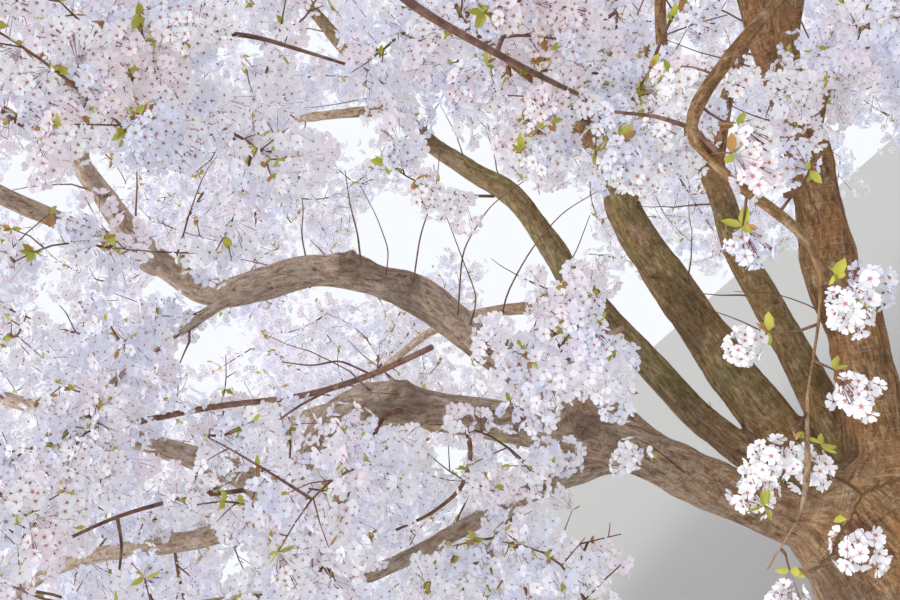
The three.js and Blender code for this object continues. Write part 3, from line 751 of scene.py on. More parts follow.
class Growth:
    """All twigs, by how they are meshed, and the places where clusters hang."""

    def __init__(self):
        self.rods = []
        self.clusters = []

    def add_rods(self, paths, thick, sides, always=False):
        """Twigs with a radius at the foot and the tip, made coarser outside the picture."""
        middle = paths[:, paths.shape[1] // 2]
        kept = ~(left_open(paths[:, -1]) | left_open(middle)) | always
        paths = held_in(paths[kept])
        last = paths.shape[1] - 1
        shown = in_picture(paths[:, last // 2])
        for some, points, ring in ((paths[shown], last + 1, sides),
                                   (paths[~shown], last // 2 + 1, max(sides - 1, 3))):
            pick = np.linspace(0, last, max(points, 2)).round().astype(int)
            radii = np.broadcast_to(between(thick, pick / last), (len(some), len(pick)))
            if len(some):
                self.rods.append((some[:, pick], radii, ring))

    def add_clusters(self, mass, place, along, order, always=False):
        """Clusters that hang from spurs at the given places, where the room lets them."""
        turn = order * GOLDEN * HANG_TURN + rng.normal(0, HANG_LOOSE, len(order))
        aside = turned(square_to(along), along, turn)
        hang = unit(aside * HANG_ASIDE + along * HANG_ALONG - np.array([0, 0, HANG_DOWN]))
        middle = place + hang * (BALL_RADIUS + SPUR_LENGTH)
        pictured = in_picture(middle)
        kept = mass.fits(middle) & (~left_open(middle) | always)
        kept &= (middle == held_in(middle)).all(1) & under_top(middle, TOP_SPIRES)
        kept &= pictured | (value_noise(middle / CLUSTER_GAP_SIZE, 5) > CLUSTER_GAP_SHARE)
        kept &= pictured | (rng.random(len(middle)) < OUTER_SHARE)
        self.clusters.append(np.hstack([place[kept], middle[kept], hang[kept]]))

    def add_clusters_along(self, mass, paths, first):
        """Clusters all along twigs, from a first one on each."""
        place, along, order, _ = along_paths(paths, first, CLUSTER_SPACING)
        self.add_clusters(mass, place, along, order)

    def add_clusters_at_ends(self, mass, paths, order=None, always=False):
        """A cluster at the tip of each twig."""
        order = np.arange(len(paths)) if order is None else order
        self.add_clusters(mass, paths[:, -1], unit(paths[:, -1] - paths[:, -2]), order, always)


def grow_string(mass, growth):
    """A mass that hangs as one long twig, with single clusters on short side twigs."""
    stem = mass.curve.at(np.linspace(0, 1, STRING_POINTS) * mass.length)[None]
    place, along, order, _ = along_paths(stem, STRING_FIRST, STRING_SPACING)
    way = unit(turned(square_to(along), along, order * GOLDEN) - np.array([0, 0, STRING_DROOP]))
    lengths = rng.uniform(*STRING_TWIGS, len(place))
    sides = wander(place, way, lengths, SHORT_POINTS, STRING_BEND, STRING_SAG)
    growth.add_rods(sides, STRING_THICK, SIDE_SIDES, always=True)
    growth.add_clusters_at_ends(mass, sides, order, always=True)


def grow_fines(mass, growth, parents, size=1):
    """The finest twigs, along side twigs."""
    first = FINE_FIRST * size
    fines = sprout(mass, parents, first, FINE_SPACING, FINE_LENGTHS, FINE_SPLAY, FINE_LIFT,
                   FINE_POINTS)
    growth.add_rods(fines, FINE_THICK, FINE_SIDES)
    return fines


def grow_mass(mass, growth):
    """All twigs and clusters of one mass: main, side and fine twigs, and those that fill gaps."""
    if mass.limb["name"] in STRINGS:
        grow_string(mass, growth)
        return
    first_cluster = len(growth.clusters)
    stem = mass.curve.at(np.linspace(0, 1, STEM_POINTS) * mass.length)[None]
    reach = mass.spread * END_SPRAY * MAIN_REACH
    mains = [main_twig(start, end, lean, reach) for start, end, lean in mass.source_twigs()]
    small = mass.spread < SMALL_SPREAD
    size = SMALL_SIZE if small else 1
    ahead = mass.curve.along(mass.length)[None]
    tail = wander(stem[0, -1:], ahead, np.array([reach]), MAIN_POINTS, MAIN_BEND, MAIN_SAG / 2)
    mains = np.array(mains + [tail[0]])
    foot, tip = MAIN_THICK
    growth.add_rods(mains, (foot * (SMALL_THICK if small else 1), tip), MAIN_SIDES)
    spacing = SIDE_SPACING * max(size, SMALL_THICK)
    lengths = [length * size for length in SIDE_LENGTHS]
    sides = [sprout(mass, paths, first, spacing, lengths, SIDE_SPLAY, SIDE_LIFT, SIDE_POINTS)
             for paths, first in ((stem, STEM_FIRST), (mains, SIDE_FIRST * size))]
    sides = np.concatenate(sides)
    growth.add_rods(sides, SIDE_THICK, SIDE_SIDES)
    fines = grow_fines(mass, growth, sides, size)
    growth.add_clusters_along(mass, stem, STEM_FIRST_CLUSTER)
    growth.add_clusters_along(mass, mains, MAIN_FIRST_CLUSTER * size)
    growth.add_clusters_along(mass, sides, SIDE_FIRST_CLUSTER)
    growth.add_clusters_along(mass, fines, FINE_FIRST_CLUSTER)
    for paths in (mains, sides, fines):
        growth.add_clusters_at_ends(mass, paths)
    nodes = np.vstack([mains.reshape(-1, 3), sides.reshape(-1, 3), stem[0]])
    fill_voids(mass, growth, nodes, np.vstack(growth.clusters[first_cluster:])[:, 3:6])


def fill_voids(mass, growth, nodes, own_clusters):
    """Twigs that reach into the parts of the room that the others left empty."""
    reach = max(mass.half_length, mass.spread)
    tries = mass.middle + rng.uniform(-1, 1, (VOID_TRIES, 3)) * reach
    tries = tries[mass.fits(tries) & under_top(tries)]
    taken = own_clusters
    found = []
    for target in tries:
        if np.min(np.sum((taken - target) ** 2, axis=1)) < VOID_SIZE ** 2:
            continue
        start = nodes[np.argmin(np.sum((nodes - target) ** 2, axis=1))]
        share = np.linspace(0, 1, VOID_POINTS)[:, None]
        way = unit(target - start)
        aside = turned(square_to(way), way, rng.uniform(0, math.tau))
        bow = aside * np.linalg.norm(target - start) * VOID_BOW
        path = start + (target - start) * share + bow * np.sin(math.pi * share)
        found.append(path)
        taken = np.vstack([taken, path[3:]])
        nodes = np.vstack([nodes, path[2:]])
    if not found:
        return
    found = np.array(found)
    growth.add_rods(found, VOID_THICK, SIDE_SIDES)
    growth.add_clusters_along(mass, found, VOID_FIRST_CLUSTER)
    fines = grow_fines(mass, growth, found)
    for paths in (found, fines):
        growth.add_clusters_at_ends(mass, paths)


def grow_spurs(growth):
    """Short spurs with a little blossom on the outer part of each limb that bears a mass."""
    for mass in Mass.all:
        limb = mass.limb
        path = limb["curve"].at(np.linspace(SPUR_FROM, 1, 30) * limb["length"])[None]
        place, along, order, _ = along_paths(path, SPUR_FIRST, SPUR_SPACING)
        aside = turned(square_to(along), along, order * GOLDEN)
        foot = place + aside * limb["tip"] * SPUR_OUT
        way = unit(aside + along * SPUR_ALONG + np.array([0, 0, SPUR_LIFT]))
        lengths = rng.uniform(*SPUR_LENGTHS, len(foot))
        spurs = wander(foot, way, lengths, SHORT_POINTS, SPUR_BEND, 0)
        kept = mass.fits(spurs[:, -1])
        growth.add_rods(spurs[kept], SPUR_THICK, SIDE_SIDES)
        growth.add_clusters_at_ends(mass, spurs[kept], order[kept])


def grow_shoots(growth):
    """Long thin shoots that rise from the stems' upper sides."""
    for limb in STEMS:
        distance = np.arange(SHOOTS_FROM, SHOOTS_TO, SHOOT_SPACING) * limb["length"]
        distance = distance + rng.uniform(-SHOOT_LOOSE, SHOOT_LOOSE, len(distance))
        place, along = limb["curve"].at(distance), limb["curve"].along(distance)
        aside = turned(square_to(along), along, rng.uniform(0, math.tau, len(distance)))
        aside[:, 2] = np.abs(aside[:, 2])
        way = unit(aside + along * SHOOT_ALONG + np.array([0, 0, SHOOT_LIFT]))
        length = rng.uniform(*SHOOT_LENGTHS, len(distance)) + limb_radius(limb, distance)
        shoots = wander(place, way, length, SHOOT_POINTS, SHOOT_BEND, SHOOT_SAG)
        growth.add_rods(shoots, SHOOT_THICK, SIDE_SIDES)


def picture_path(places):
    """A smooth path through places given as (pixels across, pixels down, metres in front)."""
    right, up, forward = camera_axes()
    x, y, depth = np.array(places, float).T[:, :, None]
    scale = depth * SENSOR / LENS / PICTURE_WIDTH
    points = VIEWPOINT + forward * depth
    points = points + right * (x - PICTURE_WIDTH / 2) * scale + up * (PICTURE_HEIGHT / 2 - y) * scale
    knots = np.linspace(0, 1, len(points))
    share = np.linspace(0, 1, SEEN_POINTS)
    rough = np.stack([np.interp(share, knots, points[:, k]) for k in range(3)], -1)
    for _ in range(SEEN_SMOOTHINGS):
        rough[1:-1] = (rough[:-2] + 2 * rough[1:-1] + rough[2:]) / 4
    return rough


growth = Growth()
for mass in Mass.all:
    grow_mass(mass, growth)
grow_spurs(growth)
grow_shoots(growth)
for foot, tip, places in SEEN_TWIGS:
    growth.add_rods(picture_path(places)[None], (foot, tip), SEEN_SIDES, always=True)


def srgb(red, green, blue):
    """A colour given in 0 to 255 as it looks, in the linear values that shaders take."""
    shares = [value / 255 for value in (red, green, blue)]
    return [s / 12.92 if s <= 0.04045 else ((s + 0.055) / 1.055) ** 2.4 for s in shares] + [1.0]


class Shader:
    """A material's node tree, with short ways to add and link nodes."""

    def __init__(self, name, roughness, specular):
        self.material = bpy.data.materials.new(name)
        self.material.use_nodes = True
        self.tree = self.material.node_tree
        self.surface = self.tree.nodes["Principled BSDF"]
        self.surface.inputs["Roughness"].default_value = roughness
        self.surface.inputs["Specular IOR Level"].default_value = specular

    def add(self, kind, links=None, **values):
        """A new node with its own values, and its sockets linked or set."""
        made = self.tree.nodes.new(kind)
        for key, value in values.items():
            setattr(made, key, value)
        for socket, source in (links or {}).items():
            self.set(made, socket, source)
        return made

    def stretched(self, source, scale):
        """Coordinates scaled apart along their three axes."""
        return self.add("ShaderNodeVectorMath", {0: source, 1: scale}, operation="MULTIPLY").outputs[0]

    def attribute(self, name, socket="Fac"):
        """What the mesh holds at each point under a name."""
        return self.add("ShaderNodeAttribute", attribute_name=name).outputs[socket]

    def noise(self, coordinates, detail, roughness=0.55, distortion=0.0):
        """Smooth noise from 0 to 1, with cells of size 1."""
        values = {"Detail": detail, "Roughness": roughness, "Distortion": distortion}
        made = self.add("ShaderNodeTexNoise", {"Vector": coordinates, "Scale": 1.0, **values})
        return made.outputs["Fac"]

    def speckle(self, cells, detail):
        """Noise through space, with so many cells to a metre."""
        place = self.add("ShaderNodeTexCoord").outputs["Object"]
        return self.noise(self.stretched(place, (cells, cells, cells)), detail)

    def length(self, vector):
        """How long a vector is."""
        return self.add("ShaderNodeVectorMath", {0: vector}, operation="LENGTH").outputs["Value"]

    def cells(self, coordinates):
        """How far each place is from the edge of its cell."""
        links = {"Vector": coordinates, "Scale": 1.0}
        made = self.add("ShaderNodeTexVoronoi", links, feature="DISTANCE_TO_EDGE")
        return made.outputs["Distance"]

    def ramp(self, source, stops):
        """A colour by a noise's value, from stops of (value, colour)."""
        made = self.add("ShaderNodeValToRGB", {"Fac": source})
        ramp = made.color_ramp
        while len(ramp.elements) < len(stops):
            ramp.elements.new(0.5)
        for element, (place, colour) in zip(ramp.elements, stops):
            element.position = place
            element.color = srgb(*colour)
        return made.outputs["Color"]

    def fade(self, source, low, high):
        """0 under low, 1 over high, and even between."""
        made = self.add("ShaderNodeMapRange", {"Value": source, "From Min": low, "From Max": high})
        return made.outputs[0]

    def times(self, first, second):
        return self.add("ShaderNodeMath", {0: first, 1: second}, operation="MULTIPLY").outputs[0]

    def laid(self, under, over, pattern, low, high, most):
        """A colour over another: none where a pattern is low, up to most of it where high."""
        share = self.times(self.fade(pattern, low, high), most)
        made = self.add("ShaderNodeMix", {"Factor": share, 6: under, 7: over}, data_type="RGBA")
        return made.outputs[2]

    def bump(self, height, distance, strength, under=None):
        """A surface raised by a height, over another such surface where one is given."""
        links = {"Height": height, "Distance": distance, "Strength": strength}
        if under is not None:
            links["Normal"] = under
        return self.add("ShaderNodeBump", links).outputs[0]

    def set(self, node, socket, source):
        """Links a node's output to a socket, or sets the socket where the source is a value."""
        if hasattr(source, "links"):
            self.tree.links.new(source, node.inputs[socket])
        else:
            node.inputs[socket].default_value = source

    def finish(self, colour, normal):
        """The material, with its colour and its raised surface in place."""
        self.set(self.surface, "Base Color", colour)
        self.set(self.surface, "Normal", normal)
        return self.material


# Colours by the value of a noise
BARK_TAN = [(0.32, (104, 70, 44)), (0.45, (158, 116, 76)), (0.56, (200, 158, 112)),
            (0.7, (236, 210, 172))]
BARK_GREEN = [(0.35, (112, 108, 68)), (0.52, (166, 158, 108)), (0.7, (216, 210, 172))]
TWIG_BROWN = [(0.35, (92, 62, 54)), (0.52, (132, 96, 80)), (0.68, (160, 128, 108))]


def bark_material():
    """Warm tan bark with fissures along the limb, level paler lines, orange parts and moss, painted sunlight
    on the left limbs and painted shade in the hollows of the relief.
    """
    shader = Shader("bark", 0.85, 0.25)
    skin = shader.attribute("bark", "Vector")
    relief, moss, painted_sunlight = (shader.attribute(name) for name in ("relief", "moss", "painted_sunlight"))

    def pattern(across, along, *values):
        """Noise on the unrolled bark, by its cells to a metre across and along the limb."""
        return shader.noise(shader.stretched(skin, (across, across, along)), *values)

    fissures = pattern(42, 13, 7, 0.7, 0.6)
    mottle = pattern(78, 26, 8, 0.68, 0.4)
    grain = pattern(300, 160, 3, 0.65)
    patches = pattern(13, 6, 5, 0.6)
    lines = pattern(15, 210, 3, 0.55)

    # Plates with splits between them, on stout limbs where the bark is rough
    wobble = shader.times(pattern(34, 20, 3), 0.03)
    warped = shader.add("ShaderNodeVectorMath", {0: skin, 1: wobble}, operation="ADD").outputs[0]
    cracks = shader.fade(shader.cells(shader.stretched(warped, (88, 88, 40))), 0.07, 0.0)
    stout = shader.fade(shader.length(shader.stretched(skin, (1, 1, 0))), 0.018, 0.05)
    rough = shader.fade(pattern(16, 9, 3), 0.42, 0.6)
    split = shader.times(cracks, shader.times(stout, rough))

    colour = shader.ramp(mottle, BARK_TAN)
    for over, shown, low, high, most in (
            (srgb(204, 146, 96), patches, 0.48, 0.62, 0.55),
            (srgb(176, 166, 142), patches, 0.45, 0.33, 0.5),
            (srgb(226, 206, 180), lines, 0.57, 0.66, 0.42),
            (srgb(122, 90, 66), lines, 0.42, 0.34, 0.4),
            # painted sunlight: a paler colour, most on the left limbs
            (srgb(248, 230, 212), mottle, 0.3, 0.6, painted_sunlight),
            (shader.ramp(mottle, BARK_GREEN), patches, 0.36, 0.54, moss),
            (srgb(84, 58, 44), split, 0.0, 1.0, 0.6),
            (srgb(78, 54, 40), fissures, 0.4, 0.3, 0.7),
            (srgb(92, 68, 52), grain, 0.47, 0.33, 0.42),
            # painted shade: darker where the relief is low, in its hollows
            (srgb(74, 52, 40), relief, 0.4, 0.05, 0.45)):
        colour = shader.laid(colour, over, shown, low, high, most)
    normal = None
    for height, distance, strength in ((split, 0.004, -0.8), (fissures, 0.02, 0.9),
                                       (mottle, 0.009, 0.8), (lines, 0.003, 0.5),
                                       (grain, 0.0022, 0.7)):
        normal = shader.bump(height, distance, strength, normal)
    return shader.finish(colour, normal)


def twig_material():
    """Smooth reddish bark with small paler specks."""
    shader = Shader("twig_bark", 0.6, 0.35)
    specks = shader.speckle(420, 1)
    brown = shader.ramp(shader.speckle(30, 3), TWIG_BROWN)
    colour = shader.laid(brown, srgb(190, 160, 140), specks, 0.64, 0.7, 0.5)
    return shader.finish(colour, shader.bump(specks, 0.0008, 0.5))


def soft_material(name, colour, roughness, painted_glow=0.0):
    """One plain colour with a faint grain, and where a strength is given a painted glow: the part emits a
    little of its own colour, as thin petals seem to glow in daylight.
    """
    shader = Shader(name, roughness, 0.25)
    # Painted glow: light emitted by the surface itself, though it is no lamp
    if painted_glow:
        shader.set(shader.surface, "Emission Color", srgb(*colour))
        shader.set(shader.surface, "Emission Strength", painted_glow)
    return shader.finish(srgb(*colour), shader.bump(shader.speckle(260, 2), 0.0006, 0.35))


def new_mesh(name, places, triangles, material=None):
    """A smooth shaded object of these corners and triangles, in the scene."""
    mesh = bpy.data.meshes.new(name)
    mesh.vertices.add(len(places))
    mesh.vertices.foreach_set("co", np.ascontiguousarray(places, np.float32).ravel())
    mesh.loops.add(len(triangles) * 3)
    mesh.loops.foreach_set("vertex_index", np.ascontiguousarray(triangles, np.int32).ravel())
    mesh.polygons.add(len(triangles))
    mesh.polygons.foreach_set("loop_start", np.arange(0, len(triangles) * 3, 3, dtype=np.int32))
    mesh.update(calc_edges=True)
    mesh.polygons.foreach_set("use_smooth", np.full(len(triangles), True))
    if material:
        mesh.materials.append(material)
    piece = bpy.data.objects.new(name, mesh)
    bpy.context.scene.collection.objects.link(piece)
    return piece


def join_parts(parts):
    """Parts of (places, triangles) as one."""
    places, triangles, count = [], [], 0
    for some_places, some_triangles in parts:
        places.append(some_places)
        triangles.append(some_triangles + count)
        count += len(some_places)
    return np.vstack(places), np.vstack(triangles)


# No piece has more triangles than this
MOST_TRIANGLES = 190000


def runs_of(part):
    """A part as runs of its triangles, each under the limit."""
    places, triangles = part
    for first in range(0, len(triangles), MOST_TRIANGLES):
        run = triangles[first:first + MOST_TRIANGLES]
        low = run.min()
        yield places[low:run.max() + 1], run - low


def dress(name, parts, material):
    """Joins parts into pieces of the tree, each under the limit on triangles."""
    batches, count = [[]], 0
    for run in itertools.chain.from_iterable(map(runs_of, parts)):
        if batches[-1] and count + len(run[1]) > MOST_TRIANGLES:
            batches.append([])
            count = 0
        batches[-1].append(run)
        count += len(run[1])
    pieces = []
    for number, batch in enumerate(batches, 1):
        label = name if len(batches) == 1 else f"{name}_{number}"
        piece = new_mesh(label, *join_parts(batch), material)
        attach(piece, "root")
        pieces.append(piece)
    return pieces


def ring_faces(rings, sides):
    """Triangles from each ring of corners to the next."""
    k = np.arange(sides)
    low = (np.arange(rings - 1) * sides)[:, None]
    a, b = low + k, low + (k + 1) % sides
    return np.stack([a, b, b + sides, a, b + sides, a + sides], -1).reshape(-1, 3)


def sweep(paths, radii, sides):
    """Tapering rods along paths, closed at both ends."""
    count, points, _ = paths.shape
    along = unit(np.gradient(paths, axis=1))
    angle = np.arange(sides) * math.tau / sides
    across = square_to(along[:, 0])
    rings = np.empty((count, points, sides, 3))
    for i in range(points):
        t = along[:, i]
        across = unit(across - t * np.sum(across * t, axis=1, keepdims=True))
        other = np.cross(t, across)
        spoke = across[:, None] * np.cos(angle)[:, None] + other[:, None] * np.sin(angle)[:, None]
        rings[:, i] = paths[:, None, i] + spoke * radii[:, i, None, None]
    last = (points - 1) * sides
    caps = np.array([[last, last + i, last + i + 1] for i in range(1, sides - 1)])
    feet = np.array([[0, i + 1, i] for i in range(1, sides - 1)])
    faces = np.vstack([ring_faces(points, sides), caps, feet])
    triangles = faces[None] + (np.arange(count) * points * sides)[:, None, None]
    return rings.reshape(-1, 3), triangles.reshape(-1, 3)


def put_down(shapes, triangles, axes, feet):
    """Copies of a small shape, one for each foot, each along axes of its own."""
    places = np.einsum("nvi,nij->nvj", shapes, axes) + feet[:, None]
    faces = triangles[None] + (np.arange(len(feet)) * shapes.shape[1])[:, None, None]
    return places.reshape(-1, 3), faces.reshape(-1, 3)


def copies(template, middles, normals, spins, sizes, cups=1.0):
    """Copies of a shape that faces +Z, turned to face the given ways and cupped more or less."""
    places, triangles = template
    across = turned(square_to(normals), normals, spins)
    axes = np.stack([across, np.cross(normals, across), normals], axis=1)
    flat = np.ones(len(middles))
    shapes = places[None] * np.stack([flat, flat, flat * cups], -1)[:, None]
    return put_down(shapes * sizes[:, None, None], triangles, axes, middles)


# The parts of a flower, as shares of its radius. Each outline runs round a petal from its
# foot, as (distance out, degrees aside).
PETALS = 5
PETAL_CUP = 0.34
PETAL_TWIST = 0.05
PETAL_NEAR = [(0.1, 0), (0.6, -35), (0.92, -27), (1.0, -12), (0.92, 0), (1.0, 12), (0.92, 27), (0.6, 35)]
PETAL_MIDDLE = [(0.08, 0), (0.78, -34), (1.0, -13), (1.0, 13), (0.78, 34)]
PETAL_FAR = [(0.06, 0), (0.97, -29), (0.97, 29)]


def petal_height(out, aside):
    """How far a petal rises: cupped, with one edge over the petal beside it."""
    return PETAL_CUP * out * out + PETAL_TWIST * math.sin(math.radians(aside) * 3)


def flower(outline):
    """Five petals that face +Z, one unit from the middle to their tips."""
    places, triangles = [], []
    for i in range(PETALS):
        first = len(places)
        for out, aside in outline:
            angle = math.radians(aside) + i * math.tau / PETALS
            places.append((out * math.cos(angle), out * math.sin(angle), petal_height(out, aside)))
        triangles += [(first, first + k, first + k + 1) for k in range(1, len(outline) - 1)]
    return np.array(places), np.array(triangles)


def star(points, outer, height):
    """A shallow dish of triangles round a middle point."""
    places, triangles = [(0, 0, height * 0.4)], []
    for i in range(points):
        for turn in (-0.5, 0.5):
            angle = (i + turn) * math.tau / points
            places.append((outer * math.cos(angle), outer * math.sin(angle), height))
        triangles.append((0, 2 * i + 1, 2 * i + 2))
    return np.array(places), np.array(triangles)


def spot(size, height):
    """One small triangle over a flower's middle."""
    angle = np.arange(3) * math.tau / 3
    places = np.stack([size * np.cos(angle), size * np.sin(angle), np.full(3, height)], -1)
    return places, np.array([(0, 1, 2)])


def stamens(count=5, reach=0.4, height=0.3, width=0.05):
    """Thin upright threads round the middle of a flower."""
    places, triangles = [], []
    for i in range(count):
        angle = i * math.tau / count + 0.3
        out = np.array([math.cos(angle), math.sin(angle), 0])
        aside = np.array([-math.sin(angle), math.cos(angle), 0]) * width
        top = out * reach * (0.7 + 0.3 * (i % 2)) + np.array([0, 0, height])
        first = len(places)
        places += [tuple(out * 0.06), tuple(top - aside), tuple(top + aside)]
        triangles.append((first, first + 1, first + 2))
    return np.array(places), np.array(triangles)


def cup(width=0.15, depth=0.3, sides=5):
    """The calyx behind a flower, narrowing down to its stalk."""
    angle = np.arange(sides) * math.tau / sides
    rim = np.stack([width * np.cos(angle), width * np.sin(angle), np.full(sides, 0.06)], -1)
    places = np.vstack([rim, [(0, 0, -depth)]])
    return places, np.array([(i, sides, (i + 1) % sides) for i in range(sides)])


def leaf(fine):
    """A young leaf along +X, folded along its midrib, facing +Z."""
    if not fine:
        places = [(0, 0, 0), (0.45, -0.24, 0.08), (1, 0, 0.06), (0.45, 0.24, 0.08)]
        return np.array(places), np.array([(0, 1, 2), (0, 2, 3)])
    rib = [(0, 0, 0), (0.35, 0, -0.02), (0.7, 0, 0.02), (1, 0, 0.1)]
    right = [(0.3, -0.23, 0.09), (0.68, -0.2, 0.12)]
    left = [(x, -y, z) for x, y, z in right]
    triangles = [(0, 4, 1), (1, 4, 5), (1, 5, 2), (2, 5, 3), (0, 1, 6), (1, 7, 6), (1, 2, 7), (2, 3, 7)]
    return np.array(rib + right + left), np.array(triangles)


# The flower of each tier, and the rosy heart of each tier that has one
FLOWERS = [flower(outline) for outline in (PETAL_NEAR, PETAL_MIDDLE, PETAL_FAR, PETAL_FAR)]
HEARTS = (star(5, 0.22, 0.1), star(3, 0.2, 0.12), spot(0.17, 0.12))
FINE_LEAF_TIERS = 2

# How loose a cluster is: its size and its edge as shares of the ball, how far its flowers
# stray, lean and droop, their sizes, and how cupped they are
CLUSTER_SIZES = (0.88, 1.1)
BALL_EDGE = 1.05
BALL_LOOSE = 0.22
FACE_LOOSE = 0.22
FACE_DROOP = 0.12
FLOWER_SCALES = (0.86, 1.1)
FLOWER_CUPS = (0.5, 1.7)
STALK_WIDTH = 0.0022

# Each cluster's petals have one of these tints
TINTS = ("white", "cool", "blush")
TINT_SHARES = (0.5, 0.33, 0.17)

# Young leaves at a cluster's foot: how many by tier, the share that shows, their lengths.
# Some clusters have a tuft of leaves.
LEAF_COUNTS = (6, 2, 1, 1)
LEAF_SHARES = (0.75, 0.6, 0.5, 0.4)
LEAF_LENGTHS = (0.018, 0.042)
LEAF_SCALES = (1.1, 1.0, 1.2, 1.4)
BRONZE_SHARE = 0.25
TUFT_SHARE = 0.07
TUFT_LEAVES = 9


def ball_ways(hang, count):
    """Ways out of a cluster, spread evenly all round it."""
    number = np.tile(np.arange(count), len(hang))
    hang = np.repeat(hang, count, axis=0)
    up = (1 - 2 * (number + 0.5) / count)[:, None]
    angle = number * GOLDEN + np.repeat(rng.uniform(0, math.tau, len(hang) // count), count)
    angle = angle[:, None]
    across = square_to(hang)
    other = np.cross(hang, across)
    way = hang * up + (across * np.cos(angle) + other * np.sin(angle)) * np.sqrt(1 - up * up)
    return unit(way + rng.normal(0, BALL_LOOSE, way.shape))


def stalks(foot, head):
    """Each flower's stalk as one long thin triangle."""
    along = unit(head - foot)
    aside = square_to(along) * STALK_WIDTH / 2
    places = np.stack([foot, head - aside, head + aside], axis=1).reshape(-1, 3)
    return places, np.arange(len(places)).reshape(-1, 3)


def add_flowers(kinds, tint, level, some):
    """The flowers of some clusters of one tier and tint, with their hearts and stalks."""
    count = FLOWER_COUNTS[level]
    spur, middle, hang = some[:, :3], some[:, 3:6], some[:, 6:]
    way = ball_ways(hang, count)
    ball = np.repeat(rng.uniform(*CLUSTER_SIZES, len(some)), count) * BALL_RADIUS
    ball *= rng.uniform(BALL_DEPTHS[level], BALL_EDGE, len(ball))
    place = np.repeat(middle, count, axis=0) + way * ball[:, None]
    face = unit(way + rng.normal(0, FACE_LOOSE, way.shape) - np.array([0, 0, FACE_DROOP]))
    size = FLOWER_SIZES[level] * rng.uniform(*FLOWER_SCALES, len(place))
    spin = rng.uniform(0, math.tau, len(place))
    cups = rng.uniform(*FLOWER_CUPS, len(place))
    kinds[tint].append(copies(FLOWERS[level], place, face, spin, size, cups))
    if level < OUTER:
        kinds["heart"].append(copies(HEARTS[level], place, face, spin, size, cups))
    if level < FINE_LEAF_TIERS:
        kinds["calyx"].append(stalks(np.repeat(spur, count, axis=0), place))
    if level == 0:
        kinds["calyx"].append(copies(cup(), place, face, spin, size))
        kinds["thread"].append(copies(stamens(), place, face, spin, size))


def add_leaves(kinds, level, some):
    """The young leaves of some clusters of one tier, green or bronze."""
    spur, hang = some[:, :3], some[:, 6:]
    leaves = np.where(rng.random(len(some)) < TUFT_SHARE, TUFT_LEAVES, LEAF_COUNTS[level])
    foot = np.repeat(spur, leaves, axis=0)
    down = np.repeat(hang, leaves, axis=0)
    aside = turned(square_to(down), down, rng.uniform(0, math.tau, len(foot)))
    way = unit(aside - down * rng.uniform(-0.4, 0.5, len(foot))[:, None])
    length = rng.uniform(*LEAF_LENGTHS, len(foot)) * LEAF_SCALES[level]
    bronze = rng.random(len(foot)) < BRONZE_SHARE
    shown = rng.random(len(foot)) < LEAF_SHARES[level]
    template = leaf(level < FINE_LEAF_TIERS)
    for kind, chosen in (("leaf", shown & ~bronze), ("bronze", shown & bronze)):
        if chosen.any():
            kinds[kind].append(leaves_along(template, foot[chosen], way[chosen], length[chosen]))


def blossom_parts(clusters):
    """All blossom, by kind: petals of each tint, hearts, threads, stalks and leaves."""
    kinds = {kind: [] for kind in [*TINTS, "heart", "thread", "calyx", "leaf", "bronze"]}
    apart = np.linalg.norm(clusters[:, 3:6] - VIEWPOINT, axis=1)
    tier = np.where(in_picture(clusters[:, 3:6]), np.digitize(apart, (NEAR, MIDDLE)), OUTER)
    tint = rng.choice(len(TINTS), len(clusters), p=TINT_SHARES)
    for level, (colour, name) in itertools.product(range(len(FLOWERS)), enumerate(TINTS)):
        some = clusters[(tier == level) & (tint == colour)]
        if len(some):
            add_flowers(kinds, name, level, some)
            add_leaves(kinds, level, some)
    return kinds


def leaves_along(template, feet, ways, lengths):
    """Leaves that stand out from their feet along given ways."""
    places, triangles = template
    side = turned(square_to(ways), ways, rng.uniform(0, math.tau, len(ways)))
    axes = np.stack([ways, side, np.cross(ways, side)], axis=1)
    return put_down(places[None] * lengths[:, None, None], triangles, axes, feet)


# The mesh of the trunk and the stems, which are welded into one skin and smoothed
BOLE_SIDES, BOLE_RINGS = 96, 44
BOLE_EDGE, BOLE_TOP = 1.02, 0.6
STEM_SIDES, STEM_RINGS = 28, 0.016
TIP_TURNS, TIP_BLUNT = (25, 50, 75), 0.7
WELD_SIZE = 0.0116
SMOOTHINGS = 4
SMOOTHING_SHARE = 0.6
SMOOTHING_GAIN = 0.0015
SEAM_WIDTH = 0.014

# The unrolled bark of each limb is read this far on from that of the one before
STEM_BARK_SHIFT, BOUGH_BARK_SHIFT = 5.0, 7.0

# The relief fades out over this height above the ground
GROUND_FADE = 0.03

# Boughs and the masses' stems: metres between rings, corners of a ring, the collar at a
# bough's foot, the radius at a stem's tip
BOUGH_RINGS, BOUGH_SIDES = 0.022, 11
MASS_STEM_RINGS, MASS_STEM_SIDES = 0.03, 8
COLLAR, COLLAR_REACH = 0.45, 0.035
MASS_STEM_TIP = 0.006

# The stem of a string thins past its middle: shares of its length, and the radius at the
# second as a share of the foot's and at the last two in metres
STRING_SHARES = (0, 0.58, 0.68, 1)
STRING_MIDDLE = 0.8
STRING_STEM_THICK = (0.0032, 0.002)

# The bark's relief in metres
FLUTES = 0.006
SWELLS = 0.006
PLATES = 0.0024
RIDGES = 0.001
LUMPS = 0.014
CRACKS = 0.004
# The span of relief over which the painted shade in the hollows is read
RELIEF_RANGE = 0.012
# The burls' lumps to a metre, and in metres of relief how much painted shade lies between those lumps
BURL_LUMPS, BURL_PAINTED_SHADE = 38, 0.011
BURL_EVEN, BURL_UNEVEN = 0.8, 0.45
BOUGH_KNOTS = 0.25

